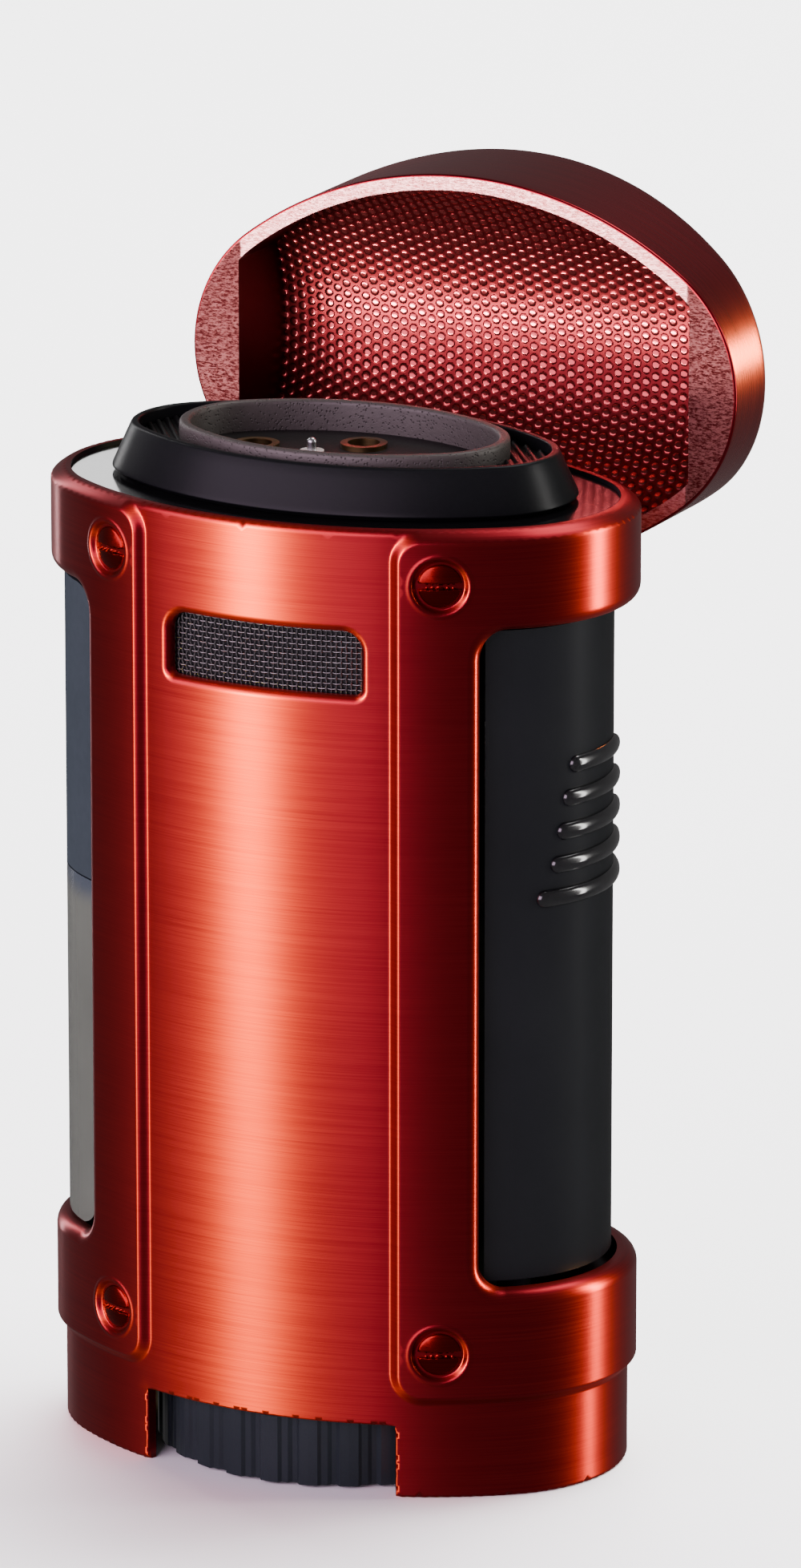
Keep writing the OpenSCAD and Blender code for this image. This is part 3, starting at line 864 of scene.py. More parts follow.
@dataclass
class Casing:
    """Red case: oval tube with raised side frames, openings, and screws in dished seats."""

    height: float = 61.2
    r: float = 9.06
    wall: float = 0.7
    step: float = 0.54
    step_half: float = 0.36
    frame_x: float = 8.45
    frame_z: tuple[float, float] = (6.33, 60.85)
    side_x: float = 13.1
    side_z: tuple[float, float] = (13.3, 55.0)
    vent_x: float = 6.5
    vent_z: tuple[float, float] = (50.8, 54.8)
    notch: tuple[float, float] = (8.5, 4.65)
    rear_slot: tuple[float, float] = (6.5, 52.75)
    screw_x: float = 11.2
    screw_z: tuple[float, float] = (9.4, 57.9)
    seat_r: float = 1.72
    seat_depth: float = 0.3
    seat_lip: float = 0.045
    frame_corner: tuple[float, float] = (1.6, 1.7)
    side_corner: tuple[float, float] = (1.7, 1.7)
    vent_corner: tuple[float, float] = (1.2, 0.45)
    cut_corner: float = 0.3
    side_rounding: float = 0.85
    vent_rounding: float = 0.5
    top_rounding: float = 0.42
    foot_rounding: float = 0.22
    notch_rounding: float = 0.14
    slot_rounding: float = 0.2
    opening_rings: tuple[float, ...] = (0.03, 0.1, 0.2, 0.33, 0.5, 0.72, 1.0, 1.25)
    seat_rings: tuple[float, ...] = (1.3, 1.44, 1.52, 1.6, 1.68, 1.76, 1.84, 1.94, 2.1)
    lip_lines: tuple[float, ...] = (0.012, 0.045, 0.1, 0.17, 0.26, 0.36, 0.45)
    notch_lines: tuple[float, ...] = (0.03, 0.08, 0.15, 0.3)
    grid_step: tuple[float, float] = (0.8, 1.0)
    grid_gap: float = 0.42
    least_gap: float = 0.012

    def __post_init__(self) -> None:
        """Lays out the openings, frames and screws on the unrolled casing."""
        h = self.half = CASE_OVAL.half_round(self.r)
        f, d, v = (self.run_at(x) for x in (self.frame_x, self.side_x, self.vent_x))
        self.notch_run, self.slot_run = self.run_at(self.notch[0]), self.run_at(self.rear_slot[0])
        self.frames = [
            Window(*ends, *self.frame_z, *self.frame_corner) for ends in ((f, h - f), (f - h, -f))
        ]
        self.windows = [(Window(-v, v, *self.vent_z, *self.vent_corner), self.vent_rounding)]
        for ends in ((d, h - d), (d - h, -d)):
            self.windows.append((Window(*ends, *self.side_z, *self.side_corner), self.side_rounding))
        big = CASE_OVAL.lean + self.r
        run = big * math.asin(self.screw_x / (big + self.step))
        self.screws = [(s, z) for s in (run, -run, h - run, run - h) for z in self.screw_z]

    def run_at(self, x: float) -> float:
        """Returns the distance along the front at which the outline reaches x."""
        big = self.r + CASE_OVAL.lean
        return big * math.asin(x / big)

    def cuts(self) -> list[tuple[Callable[[np.ndarray, np.ndarray], np.ndarray], float]]:
        """Returns the distance to each edge of the wall, with the edge's rounding radius."""
        n, nz, k, h, c = self.notch_run, self.notch[1], self.slot_run, self.half, self.cut_corner
        front, back = Window(-n, n, -nz, nz, c, c), Window(h - n, h + n, -nz, nz, c, c)
        slot = Window(h - k, h + k, self.rear_slot[1], self.height + 8.8, c, c)
        return [
            (lambda s, z: self.height - z, self.top_rounding),
            (lambda s, z: z, self.foot_rounding),
            (front.distance, self.notch_rounding),
            (lambda s, z: back.distance(np.abs(s), z), self.notch_rounding),
            (lambda s, z: slot.distance(np.abs(s), z), self.slot_rounding),
        ] + [(w.distance, rounding) for w, rounding in self.windows]

    def relief(self, s: np.ndarray, z: np.ndarray) -> np.ndarray:
        """Returns how far the outside stands out from the plain oval.

        Args:
            s: Distances along the outline.
            z: Heights.

        Returns:
            The relief, negative where the edges are rounded off.
        """
        out = np.zeros_like(s)
        for raised in self.frames:
            edge = -raised.distance(s, z)
            out = np.maximum(out, self.step * smooth(edge / (2 * self.step_half) + 0.5))
        for s0, z0 in self.screws:
            gap = np.hypot(s - s0, z - z0)
            out = out - self.seat_depth * (1 - smooth((gap - self.seat_r + 0.28) / 0.3))
            out = out + self.seat_lip * np.exp(-(((gap - self.seat_r - 0.12) / 0.12) ** 2))
        for distance, rounding in self.cuts():
            d = np.clip(distance(s, z), 0, rounding)
            out = out - (rounding - np.sqrt(np.maximum(rounding**2 - (rounding - d) ** 2, 0)))
        return np.maximum(out, -self.wall + 0.08)

    def outside(self, s: np.ndarray, z: np.ndarray) -> np.ndarray:
        """Returns the points of the outer surface."""
        spot, normal = CASE_OVAL.at(s, self.r)
        return at_height(spot + self.relief(s, z)[:, None] * normal, z)

    def layout(self) -> tuple[np.ndarray, np.ndarray]:
        """Spreads points over the unrolled casing, dense where it curves, and joins them.

        Returns:
            The points and the triangles.
        """
        (n, nz), (k, kz) = (self.notch_run, self.notch[1]), (self.slot_run, self.rear_slot[1])
        h, top = self.half, self.height
        edge = fill_steps([
            (-h, nz), (n - h, nz), (n - h, 0), (-n, 0), (-n, nz), (n, nz), (n, 0), (h - n, 0),
            (h - n, nz), (h, nz), (h, kz), (h - k, kz), (h - k, top), (k - h, top), (k - h, kz), (-h, kz),
        ])
        loops = [edge] + [w.loop() for w, _ in self.windows]
        rings = [w.loop(rounding * t) for w, rounding in self.windows for t in self.opening_rings]
        rings += [w.loop(t * self.step_half) for w in self.frames for t in np.linspace(-1.15, 1.15, 12)]
        turn = np.linspace(0, 2 * math.pi, 36, endpoint=False)
        circle = np.column_stack([np.cos(turn), np.sin(turn)])
        rings += [np.array(spot) + radius * circle for spot in self.screws for radius in self.seat_rings]
        run = np.arange(-h + EDGE_GAP / 2, h, EDGE_GAP)
        for t in self.lip_lines:
            rings += [at_height(run, top - t), at_height(run, t / 2)]
        low, high = np.arange(0.3, nz, 0.5), np.arange(kz + 0.3, top, EDGE_GAP)
        for t in self.notch_lines:
            for side in (-1, 1):
                rings.append(np.column_stack([np.full_like(low, side * (n + t)), low]))
                rings.append(np.column_stack([np.full_like(high, side * (h - k - t)), high]))
            rings.append(at_height(np.arange(-n + 0.3, n, 0.5), nz + t))
        dense = np.concatenate(rings)
        thin = far_from(dense[self.allowed(dense)], np.concatenate(loops), self.least_gap)
        ds, dz = self.grid_step
        s, z = np.meshgrid(np.arange(-h + ds / 2, h, ds), np.arange(dz / 2, top, dz))
        grid = np.column_stack([s.ravel(), z.ravel()])
        grid = far_from(grid[self.allowed(grid)], np.concatenate([thin] + loops), self.grid_gap)
        return fill_region(loops, np.concatenate([thin, grid]), self.allowed)

    def allowed(self, spots: np.ndarray) -> np.ndarray:
        """Tells which spots of the unrolled casing are wall and not opening."""
        s, z = spots[:, 0], spots[:, 1]
        keep = np.abs(s) < self.half
        for distance, _ in self.cuts():
            keep &= distance(s, z) > 1e-4
        return keep

    def build(self) -> None:
        """Builds the case's two surfaces and the cut edges between them."""
        flat, triangles = self.layout()
        s, z = flat.T
        points = self.outside(s, z)
        tiny = 0.004
        along = self.outside(s + tiny, z) - self.outside(s - tiny, z)
        up = self.outside(s, z + tiny) - self.outside(s, z - tiny)
        spot, out = CASE_OVAL.at(s, self.r)
        inner = at_height(spot - self.wall * out, z)
        faces = [tuple(t) for t in triangles.tolist()]
        rim = [e for e in outer_edges(triangles) if not self._seam(flat[e[0]], flat[e[1]])]
        used = sorted({i for e in rim for i in e})
        place = {v: i for i, v in enumerate(used)}
        count = len(used)
        walls = [(count + place[a], count + place[b], place[b], place[a]) for a, b in rim]
        patches = [
            Patch(points, faces, unit(np.cross(along, up))),
            Patch(inner, faces, at_height(-out, 0.0), 1),
            Patch(np.concatenate([points[used], inner[used]]), walls),
        ]
        make_piece("case_shell", patches, [RED, CHASSIS_BLACK], "base", ["casing"])
        ScrewHeads().build(self)

    def _seam(self, a: np.ndarray, b: np.ndarray) -> bool:
        """Tells whether an edge lies on the line where the unrolled casing's two ends meet."""
        return abs(abs(a[0]) - self.half) < 1e-4 and abs(abs(b[0]) - self.half) < 1e-4


@dataclass(frozen=True)
class ScrewHeads:
    """Slotted, slightly domed screw heads in the casing's dished seats."""

    radius: float = 1.36
    dome: float = 0.2
    slot_half: float = 0.2
    slot_depth: float = 0.34
    sunk: float = 0.22
    bevel: float = 0.14
    bevel_wide: float = 0.16
    skirt: float = 0.3
    rings: tuple[float, ...] = (0.985, 0.96, 0.92, 0.85, 0.7, 0.5, 0.25)

    def face(self, circle: np.ndarray) -> tuple[np.ndarray, np.ndarray, list[tuple[int, ...]]]:
        """Lays out one head, seen from outside.

        Args:
            circle: Points round a circle of radius 1.

        Returns:
            Its flat points, their heights and its triangles.
        """
        r, w = self.radius, self.slot_half
        border = r * circle
        run = np.linspace(-r * 0.98, r * 0.98, 24)
        lines = [at_height(run, v) for v in (-w - 0.07, -w - 0.02, -w, w, w + 0.02, w + 0.07, 0.0)]
        loose = np.concatenate([q * border for q in self.rings] + lines)
        loose = loose[np.hypot(*loose.T) < r * 0.992]
        flat, triangles = fill_region([border], loose, lambda m: np.hypot(*m.T) < r * 1.01)
        gap = np.hypot(*flat.T)
        edge = np.clip((r - gap) / self.bevel_wide, 0, 1)
        high = self.dome * (1 - (gap / r) ** 2) - self.bevel * (1 - np.sqrt(1 - (1 - edge) ** 2))
        high = np.where(np.abs(flat[:, 1]) < w - 0.005, high - self.slot_depth, high)
        return flat, high, [tuple(t) for t in triangles.tolist()]

    def build(self, casing: Casing) -> None:
        """Builds all the heads as one piece.

        Args:
            casing: The casing they sit in.
        """
        turn = np.linspace(0, 2 * math.pi, 48, endpoint=False)
        circle = np.column_stack([np.cos(turn), np.sin(turn)])
        flat, high, triangles = self.face(circle)
        up = np.array([0.0, 0.0, 1.0])
        patches = []
        for s0, z0 in casing.screws:
            spot, normal = (v[0] for v in CASE_OVAL.at(np.array([s0]), casing.r))
            out, side = np.array([*normal, 0.0]), np.array([-normal[1], normal[0], 0.0])
            middle = np.array([*spot, z0]) + (casing.step - self.sunk) * out
            points = middle + flat[:, :1] * side + flat[:, 1:] * up + high[:, None] * out
            rim, level = points[: len(turn)], circle[:, :1] * side + circle[:, 1:] * up
            skirt = sheet([rim, rim - self.skirt * out], level, closed=True)
            patches += [Patch(points, triangles), skirt]
        piece = make_piece(
            "case_screw_heads", patches, [RED_SCREW], "base", ["case_screws"]
        )
        piece.data.set_sharp_from_angle(angle=math.radians(40))


@dataclass
class VentScreen:
    """Woven wire screen behind the air window."""

    r: float = 8.16
    pitch: tuple[float, float] = (0.31, 0.33)
    wire: float = 0.068
    weave: float = 0.06
    half_w: float = 7.1
    z: tuple[float, float] = (50.35, 55.2)

    def build(self) -> None:
        """Builds each wire as a tube that passes over and under the wires it crosses, with a black sheet
        just behind the wires as painted shade inside the air window.
        """
        patches = []
        (wide, tall), (z0, z1), w = self.pitch, self.z, self.half_w
        for i, s in enumerate(np.arange(-w, w + 0.01, wide)):
            z = np.arange(z0 - 0.05, z1 + 0.05, tall / 4)
            wave = np.cos(math.pi * (z - z0) / tall) * (-1) ** i
            patches.append(self.tube(np.full_like(z, s), z, wave))
        for j, z in enumerate(np.arange(z0, z1, tall)):
            s = np.arange(-w, w, wide / 4)
            wave = np.cos(math.pi * (s + w) / wide) * (-1) ** (j + 1)
            patches.append(self.tube(s, np.full_like(s, z), wave))
        # The black sheet just behind the wires, facing both ways, is painted shade inside the air window.
        spot, out = CASE_OVAL.at(np.linspace(-w, w, 40), self.r)
        for back, way in ((0.15, 1.0), (0.19, -1.0)):
            rows = [at_height(spot - back * out, z) for z in self.z]
            patches.append(sheet(rows, at_height(way * out, 0.0), 1))
        make_piece(
            "vent_screen", patches, [WOVEN, CHASSIS_BLACK], "base", ["vent_mesh"]
        )

    def tube(self, s: np.ndarray, z: np.ndarray, wave: np.ndarray) -> Patch:
        """Makes one wire.

        Args:
            s: Distances along the outline.
            z: Heights.
            wave: How far the wire's middle stands out, from -1 to 1.

        Returns:
            The wire's surface.
        """
        spot, out = CASE_OVAL.at(s, self.r)
        middle = at_height(spot + self.weave * wave[:, None] * out, z)
        outward = at_height(out, 0.0)
        across = np.cross(unit(np.gradient(middle, axis=0)), outward)
        turn = (np.arange(6) * math.pi / 3)[None, :, None]
        normals = np.cos(turn) * outward[:, None] + np.sin(turn) * across[:, None]
        points = middle[:, None] + self.wire * normals
        faces = grid_faces(len(s), 6, True)
        return Patch(points.reshape(-1, 3), faces, normals.reshape(-1, 3))


# ---------------------------------------------------------------- lid


@dataclass
class Lid:
    """Hinged lid, drawn shut and placed open: crowned shell, bare rim and dimpled hollow."""

    r: float = 9.3
    high: float = 9.6
    drop: float = 4.2
    rounding: float = 1.1
    hinge_y: float = 10.05
    hinge_z: float = 54.35
    plane_z: float = 61.3
    land_x: float = 15.5
    rim: float = 1.0
    trough_r: float = 13.14
    trough_top: float = 6.7
    bump_r: float = 0.29
    bump_h: float = 0.055
    sheen_tilt: float = math.radians(15.0)
    bump_pitch: tuple[float, float] = (1.29, 0.3725)
    bevel: float = 0.16
    bevel_top: float = 0.18
    spread: int = 260
    grid: tuple[int, int] = (470, 330)

    def opened(self, points: np.ndarray) -> np.ndarray:
        """Returns points drawn on the shut lid, with heights from the rim, on the open lid."""
        x, y, z = points.T
        back = self.hinge_y + z + self.plane_z - self.hinge_z
        return np.column_stack([x, back, self.hinge_z - y + self.hinge_y])

    @staticmethod
    def turned(normals: np.ndarray) -> np.ndarray:
        """Returns directions on the shut lid as they lie when it is open."""
        x, y, z = normals.T
        return np.column_stack([x, z, -y])

    def placed(self, patch: Patch) -> Patch:
        """Returns a patch drawn on the shut lid, moved to the open lid."""
        normals = None if patch.normals is None else self.turned(patch.normals)
        return Patch(self.opened(patch.points), patch.faces, normals, patch.finish, patch.raised)

    def crown(self, x: np.ndarray) -> np.ndarray:
        """Returns the height of the lid's top at x."""
        half = CASE_OVAL.end + self.r
        big = (half**2 + self.drop**2) / (2 * self.drop)
        return self.high - big + np.sqrt(big**2 - x**2)

    def shell(self) -> Patch:
        """Returns the outer wall and the crown, from the rim's outer edge to the top."""
        spots, out = CASE_OVAL.at(CASE_OVAL.samples(self.spread, self.r), self.r)
        lip = ((self.bevel, 0.0), (0.11, 0.012), (0.06, 0.04), (0.02, 0.1), (0.0, self.bevel_top))
        rows = [at_height(spots - inset * out, z) for inset, z in lip]
        wall = self.crown(spots[:, 0]) - self.rounding - self.bevel_top
        for share in (0.1, 0.3, 0.5, 0.7, 0.9, 1.0):
            rows.append(at_height(spots, self.bevel_top + share * wall))
        for turn in np.linspace(0.12, 1.0, 9) * math.pi / 2:
            flat = spots - self.rounding * (1 - math.cos(turn)) * out
            rows.append(at_height(flat, self.crown(flat[:, 0]) - self.rounding * (1 - math.sin(turn))))
        for inset in np.linspace(self.rounding, self.r, 15)[1:]:
            flat = spots - inset * out
            rows.append(at_height(flat, self.crown(flat[:, 0])))
        last = rows[-1]
        rows += [last * np.array([1.0, share, 1.0]) for share in (0.66, 0.33, 0.0)]
        return Patch(np.concatenate(rows), grid_faces(len(rows), self.spread, True))

    def hollow_half(self, x: np.ndarray) -> np.ndarray:
        """Returns the hollow's half depth at x."""
        return CASE_OVAL.depth(x, self.r - self.rim)

    def trough(self, y: np.ndarray) -> np.ndarray:
        """Returns the height of the hollow's top at y, without its bumps."""
        return self.trough_top - self.trough_r + np.sqrt(np.maximum(self.trough_r**2 - y**2, 0.01))

    def face(self) -> list[Patch]:
        """Returns the flat rim, and the flat lands beyond the hollow's two ends."""
        patches = []
        down = np.array([0.0, 0.0, -1.0])
        edge_r = self.r - self.bevel
        x = np.linspace(-self.land_x, self.land_x, 140)
        inner, outer = self.hollow_half(x), CASE_OVAL.depth(x, edge_r)
        half = CASE_OVAL.end + edge_r
        xs = half - (half - self.land_x) * np.linspace(1, 0, 24) ** 2
        reach = CASE_OVAL.depth(xs, edge_r)
        for side in (-1, 1):
            rim = [np.column_stack([x, side * (inner + t * (outer - inner))]) for t in (0, 0.5, 1)]
            land = [np.column_stack([side * xs, t * reach]) for t in np.linspace(-1, 1, 9)]
            patches += [sheet([at_height(row, 0.0) for row in rows], down, 1) for rows in (rim, land)]
        return patches

    def cheeks(self) -> list[Patch]:
        """Returns the upright walls between the rim and the hollow's top."""
        patches = []
        x = np.linspace(-self.land_x, self.land_x, 140)
        half = self.hollow_half(x)
        reach = float(half[-1])
        y = np.linspace(-reach, reach, 24)
        slope = np.gradient(half, x)
        for side in (-1, 1):
            wall = np.column_stack([x, side * half])
            inward = unit(np.column_stack([slope, np.full_like(x, -side), np.zeros_like(x)]))
            rows = [at_height(wall, t * self.trough(half)) for t in (0, 0.5, 1)]
            patches.append(sheet(rows, inward, 2))
            wall = np.column_stack([np.full_like(y, side * self.land_x), y])
            rows = [at_height(wall, t * self.trough(y)) for t in (0, 0.5, 1)]
            patches.append(sheet(rows, np.array([-side, 0.0, 0.0]), 2))
        return patches

    def bumps(self, x: np.ndarray, y: np.ndarray) -> np.ndarray:
        """Returns the height of the hollow's staggered round bumps.

        Args:
            x: Places along the lid's width.
            y: Places along its depth.

        Returns:
            The bumps' heights.
        """
        run = self.trough_r * np.arcsin(np.clip(y / self.trough_r, -1, 1))
        wide, deep = self.bump_pitch
        best = np.full(x.shape, 9.0)
        for odd in (0, 1):
            dx = (x + odd * wide / 2 + wide / 2) % wide - wide / 2
            dy = (run + odd * deep + deep) % (2 * deep) - deep
            best = np.minimum(best, np.hypot(dx, dy))
        return self.bump_h * np.maximum(1 - (best / self.bump_r) ** 4, 0)

    def liner(self) -> Patch:
        """Returns the hollow's top, covered with bumps."""
        columns, rows = self.grid
        x = np.linspace(-self.land_x, self.land_x, columns)
        xs = np.tile(x, (rows, 1)).ravel()
        ys = (np.linspace(-1, 1, rows)[:, None] * self.hollow_half(x)[None, :]).ravel()
        marks, faces = self.bumps(xs, ys) / self.bump_h, grid_faces(rows, columns)
        return Patch(self.surface(xs, ys), faces, self.liner_normals(xs, ys), 2, marks)

    def surface(self, x: np.ndarray, y: np.ndarray) -> np.ndarray:
        """Returns points of the hollow's bumpy top."""
        top = self.trough(y)
        inward = unit(np.column_stack([np.zeros_like(x), y, top - self.trough_top + self.trough_r]))
        return np.column_stack([x, y, top]) - self.bumps(x, y)[:, None] * inward

    def liner_normals(self, x: np.ndarray, y: np.ndarray) -> np.ndarray:
        """Returns the bumpy top's normals, which point out of the hollow."""
        tiny = 0.01
        along = self.surface(x + tiny, y) - self.surface(x - tiny, y)
        across = self.surface(x, y + tiny) - self.surface(x, y - tiny)
        nx, ny, nz = unit(-np.cross(along, across)).T
        c, q = math.cos(self.sheen_tilt), math.sin(self.sheen_tilt)
        return np.column_stack([nx, c * ny + q * nz, c * nz - q * ny])

    def build(self) -> None:
        """Builds the lid as one piece."""
        shell = self.placed(self.shell())
        shell.faces = [f[::-1] for f in shell.faces]
        inside = [self.placed(p) for p in [*self.face(), *self.cheeks(), self.liner()]]
        finishes, replaced = [RED_LID, RIM, RED_LINER], ["lid_shell", "lid_liner"]
        make_piece("lid_body", [shell, *inside], finishes, "lid", replaced)


# ---------------------------------------------------------------- burner


@dataclass
class Burner:
    """Wind collar, ribbed grille and flame ring on top of the case."""

    collar_ref: float = 5.5
    ring_ref: float = 4.9
    ring_top: float = 64.5
    grille_z: float = 63.3
    grille_r: tuple[float, float] = (4.54, 5.3)
    plate_z: tuple[float, float] = (-0.12, -0.38)
    rib_pitch: float = 0.61
    rib_run: tuple[float, float] = (0.56, -0.83)
    rib_high: float = 0.24
    rib_shape: tuple[tuple[float, float], ...] = (
        (-0.2, 0.0), (-0.13, 0.6), (-0.05, 0.95), (0.05, 0.95), (0.13, 0.6), (0.2, 0.0),
    )

    def build(self) -> None:
        """Builds the three pieces."""
        self.build_collar()
        self.build_ring()
        self.build_grille()

    def build_collar(self) -> None:
        """Builds the tapering collar with its thin round lip and undercut foot."""
        profile = [
            (4.57, 60.98), (4.57, 62.0), (4.57, 63.9), (4.585, 63.98), (4.63, 64.03),
            (4.7, 64.05), (4.86, 64.05), (4.96, 64.035), (5.04, 63.98), (5.09, 63.9),
            (5.35, 63.34), (5.75, 62.44), (6.1, 61.66), (6.19, 61.46), (6.23, 61.34),
            (6.235, 61.29), (6.2, 61.25), (6.14, 61.235), (5.8, 61.235), (5.76, 61.22),
            (5.76, 60.98), (5.2, 60.98),
        ]
        patch = COLLAR_OVAL.sweep(profile, 240, self.collar_ref)
        make_piece("wind_collar", [patch], [SATIN_BLACK], "base", ["collar"])

    def build_ring(self) -> None:
        """Builds the flame ring with its rounded top edge."""
        top = self.ring_top
        profile = [
            (4.61, 58.7), (4.61, 61.0), (4.61, top - 0.3), (4.63, top - 0.16), (4.69, top - 0.06),
            (4.79, top - 0.01), (4.9, top), (5.03, top), (5.14, top - 0.02), (5.23, top - 0.08),
            (5.28, top - 0.18), (5.3, top - 0.32), (5.3, 61.0), (5.3, 58.7), (5.0, 58.7),
        ]
        patch = RING_OVAL.sweep(profile, 200, self.ring_ref)
        make_piece("flame_ring_body", [patch], [SINTERED], "base", ["flame_ring"])

    def build_grille(self) -> None:
        """Builds the grille: a dark plate with slanting ribs, cut across at the right end."""
        collar_r, ring_r = self.grille_r
        outer, _ = COLLAR_OVAL.at(COLLAR_OVAL.samples(200, collar_r), collar_r)
        ring, _ = RING_OVAL.at(RING_OVAL.samples(1600, ring_r), ring_r)
        angle, ring_angle = (np.arctan2(line[:, 1], line[:, 0]) for line in (outer, ring))
        order = np.argsort(ring_angle)
        inner = np.column_stack([
            np.interp(angle, ring_angle[order], ring[order, k], period=2 * math.pi) for k in (0, 1)
        ])
        patches = []
        for z, way in zip(self.plate_z, (1.0, -1.0)):
            rows = [at_height(inner + t * (outer - inner), self.grille_z + z) for t in (0, 0.5, 1)]
            patches.append(sheet(rows, np.array([0.0, 0.0, way]), closed=True))
        patches += self.ribs()
        make_piece(
            "collar_grille_body", patches, [GRILLE_BLACK], "base", ["collar_grille"]
        )

    def ribs(self) -> list[Patch]:
        """Returns the grille's slanting ribs, one strip for each run between the two ovals."""
        run = np.array(self.rib_run) / math.hypot(*self.rib_run)
        side = np.array([-run[1], run[0]])
        patches = []
        for k in range(-26, 27):
            line = k * self.rib_pitch * side + np.arange(-12.0, 12.0, 0.12)[:, None] * run
            free = np.flatnonzero(self.between(line))
            for part in np.split(free, np.flatnonzero(np.diff(free) > 1) + 1):
                if len(part) > 2:
                    patches.append(self.rib(line[part], side))
        return patches

    @staticmethod
    def between(spots: np.ndarray) -> np.ndarray:
        """Tells which spots lie between the flame ring and the collar."""
        x, y = spots.T
        in_collar = (np.abs(x) < 13.4) & (np.abs(y) < COLLAR_OVAL.depth(x, 4.53))
        in_ring = (np.abs(x) < 10.65) & (np.abs(y) < RING_OVAL.depth(x, 5.31))
        return in_collar & ~in_ring

    def rib(self, line: np.ndarray, side: np.ndarray) -> Patch:
        """Returns one rib with a rounded ridge.

        Args:
            line: Points along its middle.
            side: Direction across it.

        Returns:
            The rib's surface.
        """
        across = line @ np.array([-self.rib_run[1], self.rib_run[0]])
        beads = 0.5 + 0.5 * np.cos(2 * math.pi * across / self.rib_pitch)
        right = smooth((line[:, 0] - 7.5) / 1.5)
        high = self.rib_high * (1 - right * (1 - beads))
        foot = self.grille_z - 0.13
        rows = [at_height(line + offset * side, foot + share * high) for offset, share in self.rib_shape]
        patch = Patch(np.concatenate(rows), grid_faces(len(rows), len(line)))
        normals = patch.filled_normals()
        patch.normals = normals * np.where(normals[:, 2:] < 0, -1.0, 1.0)
        return patch


# ---------------------------------------------------------------- trigger


@dataclass
class GripRibs:
    """Half-round grip ribs on the trigger, with round ends."""

    r: float = 8.0
    z0: float = 37.65
    pitch: float = 2.04
    proud: float = 0.41
    tall: float = 0.56
    sunk: float = 0.01
    wrap: float = math.pi / 2 + 0.3
    reach_deg: tuple[float, ...] = (37.3, 30.4, 27.1, 24.1, 20.4)

    def build(self) -> None:
        """Builds the ribs, from the lowest up."""
        patches = []
        for i, reach in enumerate(self.reach_deg):
            patches.append(self.rib(self.z0 + i * self.pitch, math.radians(reach)))
        make_piece(
            "trigger_grip_ribs", patches, [RIB_BLACK], "trigger", ["grip_ribs"]
        )

    def rib(self, z: float, reach: float) -> Patch:
        """Returns one rib.

        Args:
            z: Height of its middle.
            reach: Angle from its middle to its round end's middle.

        Returns:
            The rib's surface.
        """
        cap = self.tall / self.r
        fall = np.linspace(0, math.pi / 2, 8)
        ends, sizes = reach + cap * np.sin(fall), np.maximum(np.cos(fall), 0.02)
        turns = np.concatenate([-ends[::-1], np.linspace(-reach, reach, 30)[1:-1], ends])[:, None]
        widths = np.concatenate([sizes[::-1], np.ones(28), sizes])[:, None]
        bend = np.linspace(-self.wrap, self.wrap, 15)
        radius = self.r + self.proud * widths * np.cos(bend) - self.sunk
        flat = np.stack([radius * np.cos(turns), radius * np.sin(turns)], axis=-1)
        away = np.dstack([flat, self.tall * widths * np.sin(bend)]).reshape(-1, 3)
        patch = Patch(np.array([CASE_OVAL.end, 0, z]) + away, grid_faces(len(turns), len(bend)))
        normals = patch.filled_normals()
        patch.normals = normals * np.where((normals * away).sum(axis=1, keepdims=True) < 0, -1.0, 1.0)
        return patch


# ---------------------------------------------------------------- studio

WHITE: Colour = (1.0, 1.0, 1.0)
MIDDLE: Spot = (0.0, 0.0, 0.035)


def look_from(
    thing: bpy.types.Object, azimuth: float, elevation: float, distance: float, at: Spot
) -> None:
    """Places an object at a distance from a point, facing the point.

    Args:
        thing: The object.
        azimuth: Degrees to the right of the front.
        elevation: Degrees above level.
        distance: Metres from the point.
        at: The point.
    """
    az, el = math.radians(azimuth), math.radians(elevation)
    away = Vector((math.sin(az) * math.cos(el), -math.cos(az) * math.cos(el), math.sin(el)))
    thing.location = Vector(at) + distance * away
    thing.rotation_euler = (-away).to_track_quat("-Z", "Y").to_euler()
    bpy.context.scene.collection.objects.link(thing)


@dataclass(frozen=True)
class Softbox:
    """Rectangular studio light that looks at the lighter."""

    name: str
    azimuth: float
    elevation: float
    distance: float
    width: float
    height: float
    power: float
    colour: Colour = WHITE
    aim: Spot = MIDDLE
    only: tuple[str, ...] = ()

    def build(self) -> None:
        """Places the light, which shines on the objects named in only, or on all of them."""
        light = bpy.data.lights.new(self.name, "AREA")
        light.shape = "RECTANGLE"
        light.size = self.width
        light.size_y = self.height
        light.energy = self.power
        light.color = self.colour
        lamp = bpy.data.objects.new(self.name, light)
        look_from(lamp, self.azimuth, self.elevation, self.distance, self.aim)
        if self.only:
            lit = bpy.data.collections.new(self.name)
            for name in self.only:
                lit.objects.link(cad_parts.get(name) or bpy.data.objects[name])
            lamp.light_linking.receiver_collection = lit


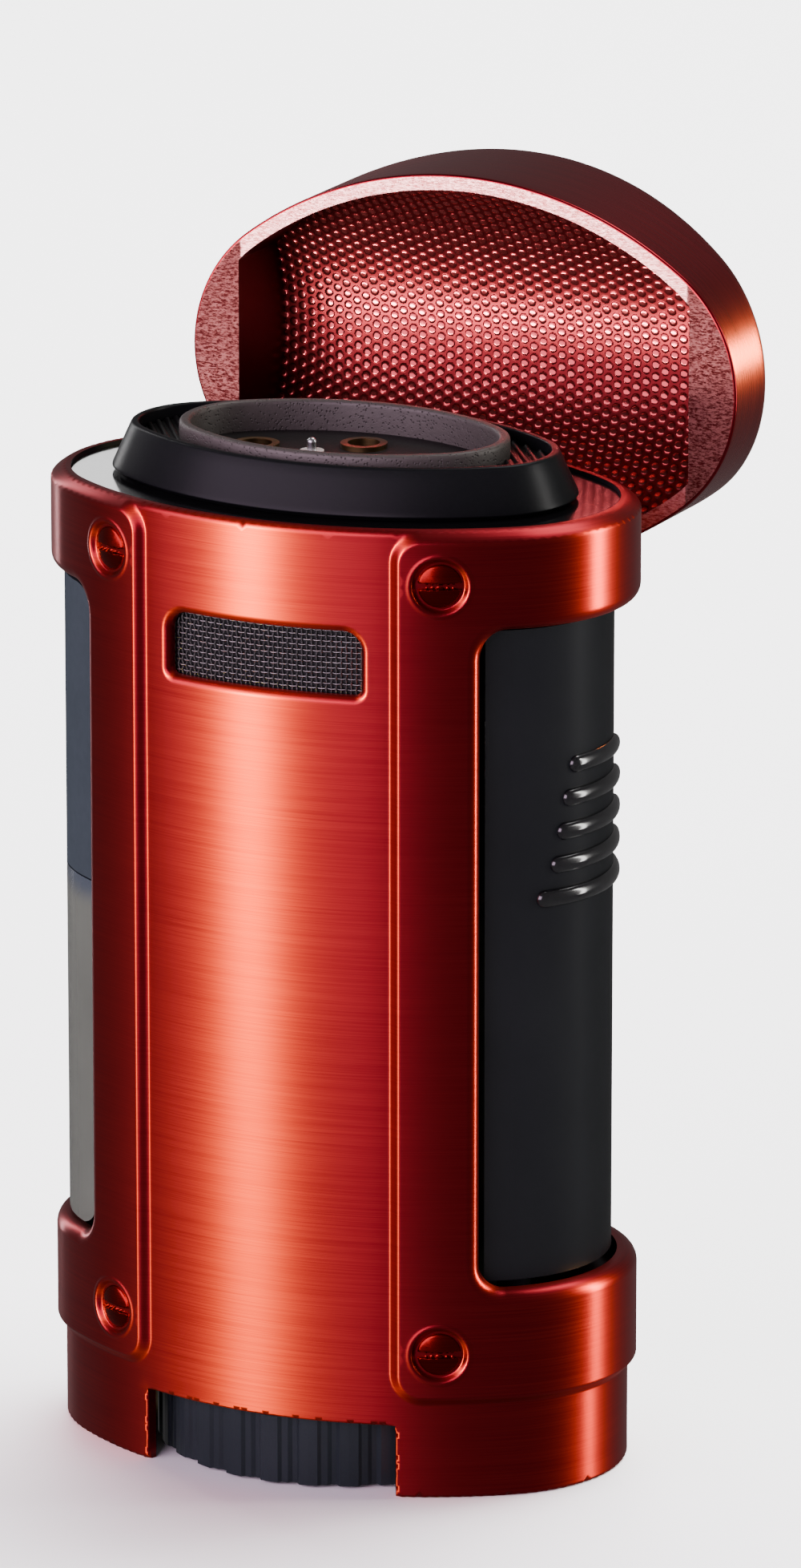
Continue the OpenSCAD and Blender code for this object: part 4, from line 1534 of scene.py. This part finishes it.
@dataclass
class Studio:
    """Camera, pale floor and lights."""

    azimuth: float = 25.265
    elevation: float = 15.32
    distance: float = 0.64874
    target: Spot = (0.003217, 0.001239, 0.041924)
    lens: float = 241.75
    floor_half: float = 3.0
    ambient: Colour = (1.0, 0.97, 0.98)
    ambient_strength: float = 0.15
    softboxes: tuple[Softbox, ...] = (
        Softbox("key_wide", -23.0, 18.0, 0.6, 0.9, 0.4, 7.5, (1.0, 0.75, 1.0)),
        Softbox("key_core", -27.0, 5.0, 0.5, 0.07, 0.09, 12.0, (0.6, 1.0, 0.0), MIDDLE, ("case_shell",)),
        Softbox("right_edge", 116.0, 8.0, 0.5, 0.05, 0.4, 1.6, (1.0, 0.98, 0.95)),
        Softbox("right_glow", 116.0, 6.0, 0.5, 0.06, 0.4, 7.0, (0.9, 1.0, 0.1), MIDDLE, ("case_shell",)),
        Softbox("left_edge", -118.0, 12.0, 0.5, 0.03, 0.5, 0.8),
        Softbox("overhead", 160.0, 62.0, 1.2, 0.5, 0.5, 6.0),
        Softbox("backdrop", 175.0, 58.0, 1.2, 1.4, 0.9, 80.0, only=("floor",)),
        Softbox("deck_sheen", -158.0, 15.0, 0.5, 0.25, 0.16, 0.5, only=("deck_plate",)),
        Softbox(
            "lid_band", -25.0, -2.0, 0.3, 0.24, 0.03, 4.5, WHITE, (0.0, 0.02, 0.066), ("lid_body",)
        ),
        Softbox(
            "lid_edge", 151.0, 2.0, 0.4, 0.04, 0.06, 1.2, (1.0, 0.8, 0.2), (0.03, 0.02, 0.064),
            ("lid_body",),
        ),
    )

    def build_camera(self) -> None:
        """Sets up the camera."""
        data = bpy.data.cameras.new("camera")
        data.lens = self.lens
        data.sensor_width = 36.0
        data.clip_start = 0.01
        camera = bpy.data.objects.new("camera", data)
        look_from(camera, self.azimuth, self.elevation, self.distance, self.target)
        bpy.context.scene.camera = camera

    def build_floor(self) -> None:
        """Lays the pale floor and sets the surrounding light."""
        mesh = bpy.data.meshes.new("floor")
        h = self.floor_half
        mesh.from_pydata([(-h, -h, 0), (h, -h, 0), (h, h, 0), (-h, h, 0)], [], [(0, 1, 2, 3)])
        floor = bpy.data.objects.new("floor", mesh)
        bpy.context.scene.collection.objects.link(floor)
        graph = Graph("pale_floor")
        cloud = graph.noise(graph.place(), 0.02, 2.0)
        tone = graph.mix(cloud, (0.9, 0.9, 0.9), (0.92, 0.92, 0.92))
        mesh.materials.append(graph.surface(Base_Color=tone, Roughness=0.8))
        floor.visible_glossy = False
        world = bpy.data.worlds.new("studio")
        world.use_nodes = True
        colour, strength = world.node_tree.nodes["Background"].inputs[:2]
        colour.default_value = (*self.ambient, 1.0)
        strength.default_value = self.ambient_strength
        bpy.context.scene.world = world

    def build(self) -> None:
        """Builds the whole studio."""
        self.build_camera()
        self.build_floor()
        for softbox in self.softboxes:
            softbox.build()


def dress_cad_nodes() -> None:
    """Gives each carried-over CAD node its finish."""
    for finish, nodes in CAD_FINISHES.items():
        for node in nodes:
            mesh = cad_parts[node].data
            mesh.materials.clear()
            mesh.materials.append(finish.material())
            LOG.info("%s: finish %s", node, finish.name)


def main() -> None:
    """Builds the lighter's looks in order."""
    logging.basicConfig(level=logging.INFO, format="%(name)s: %(message)s")
    dress_cad_nodes()
    Casing().build()
    VentScreen().build()
    Lid().build()
    Burner().build()
    GripRibs().build()
    Studio().build()


if __name__ == "__main__":
    main()
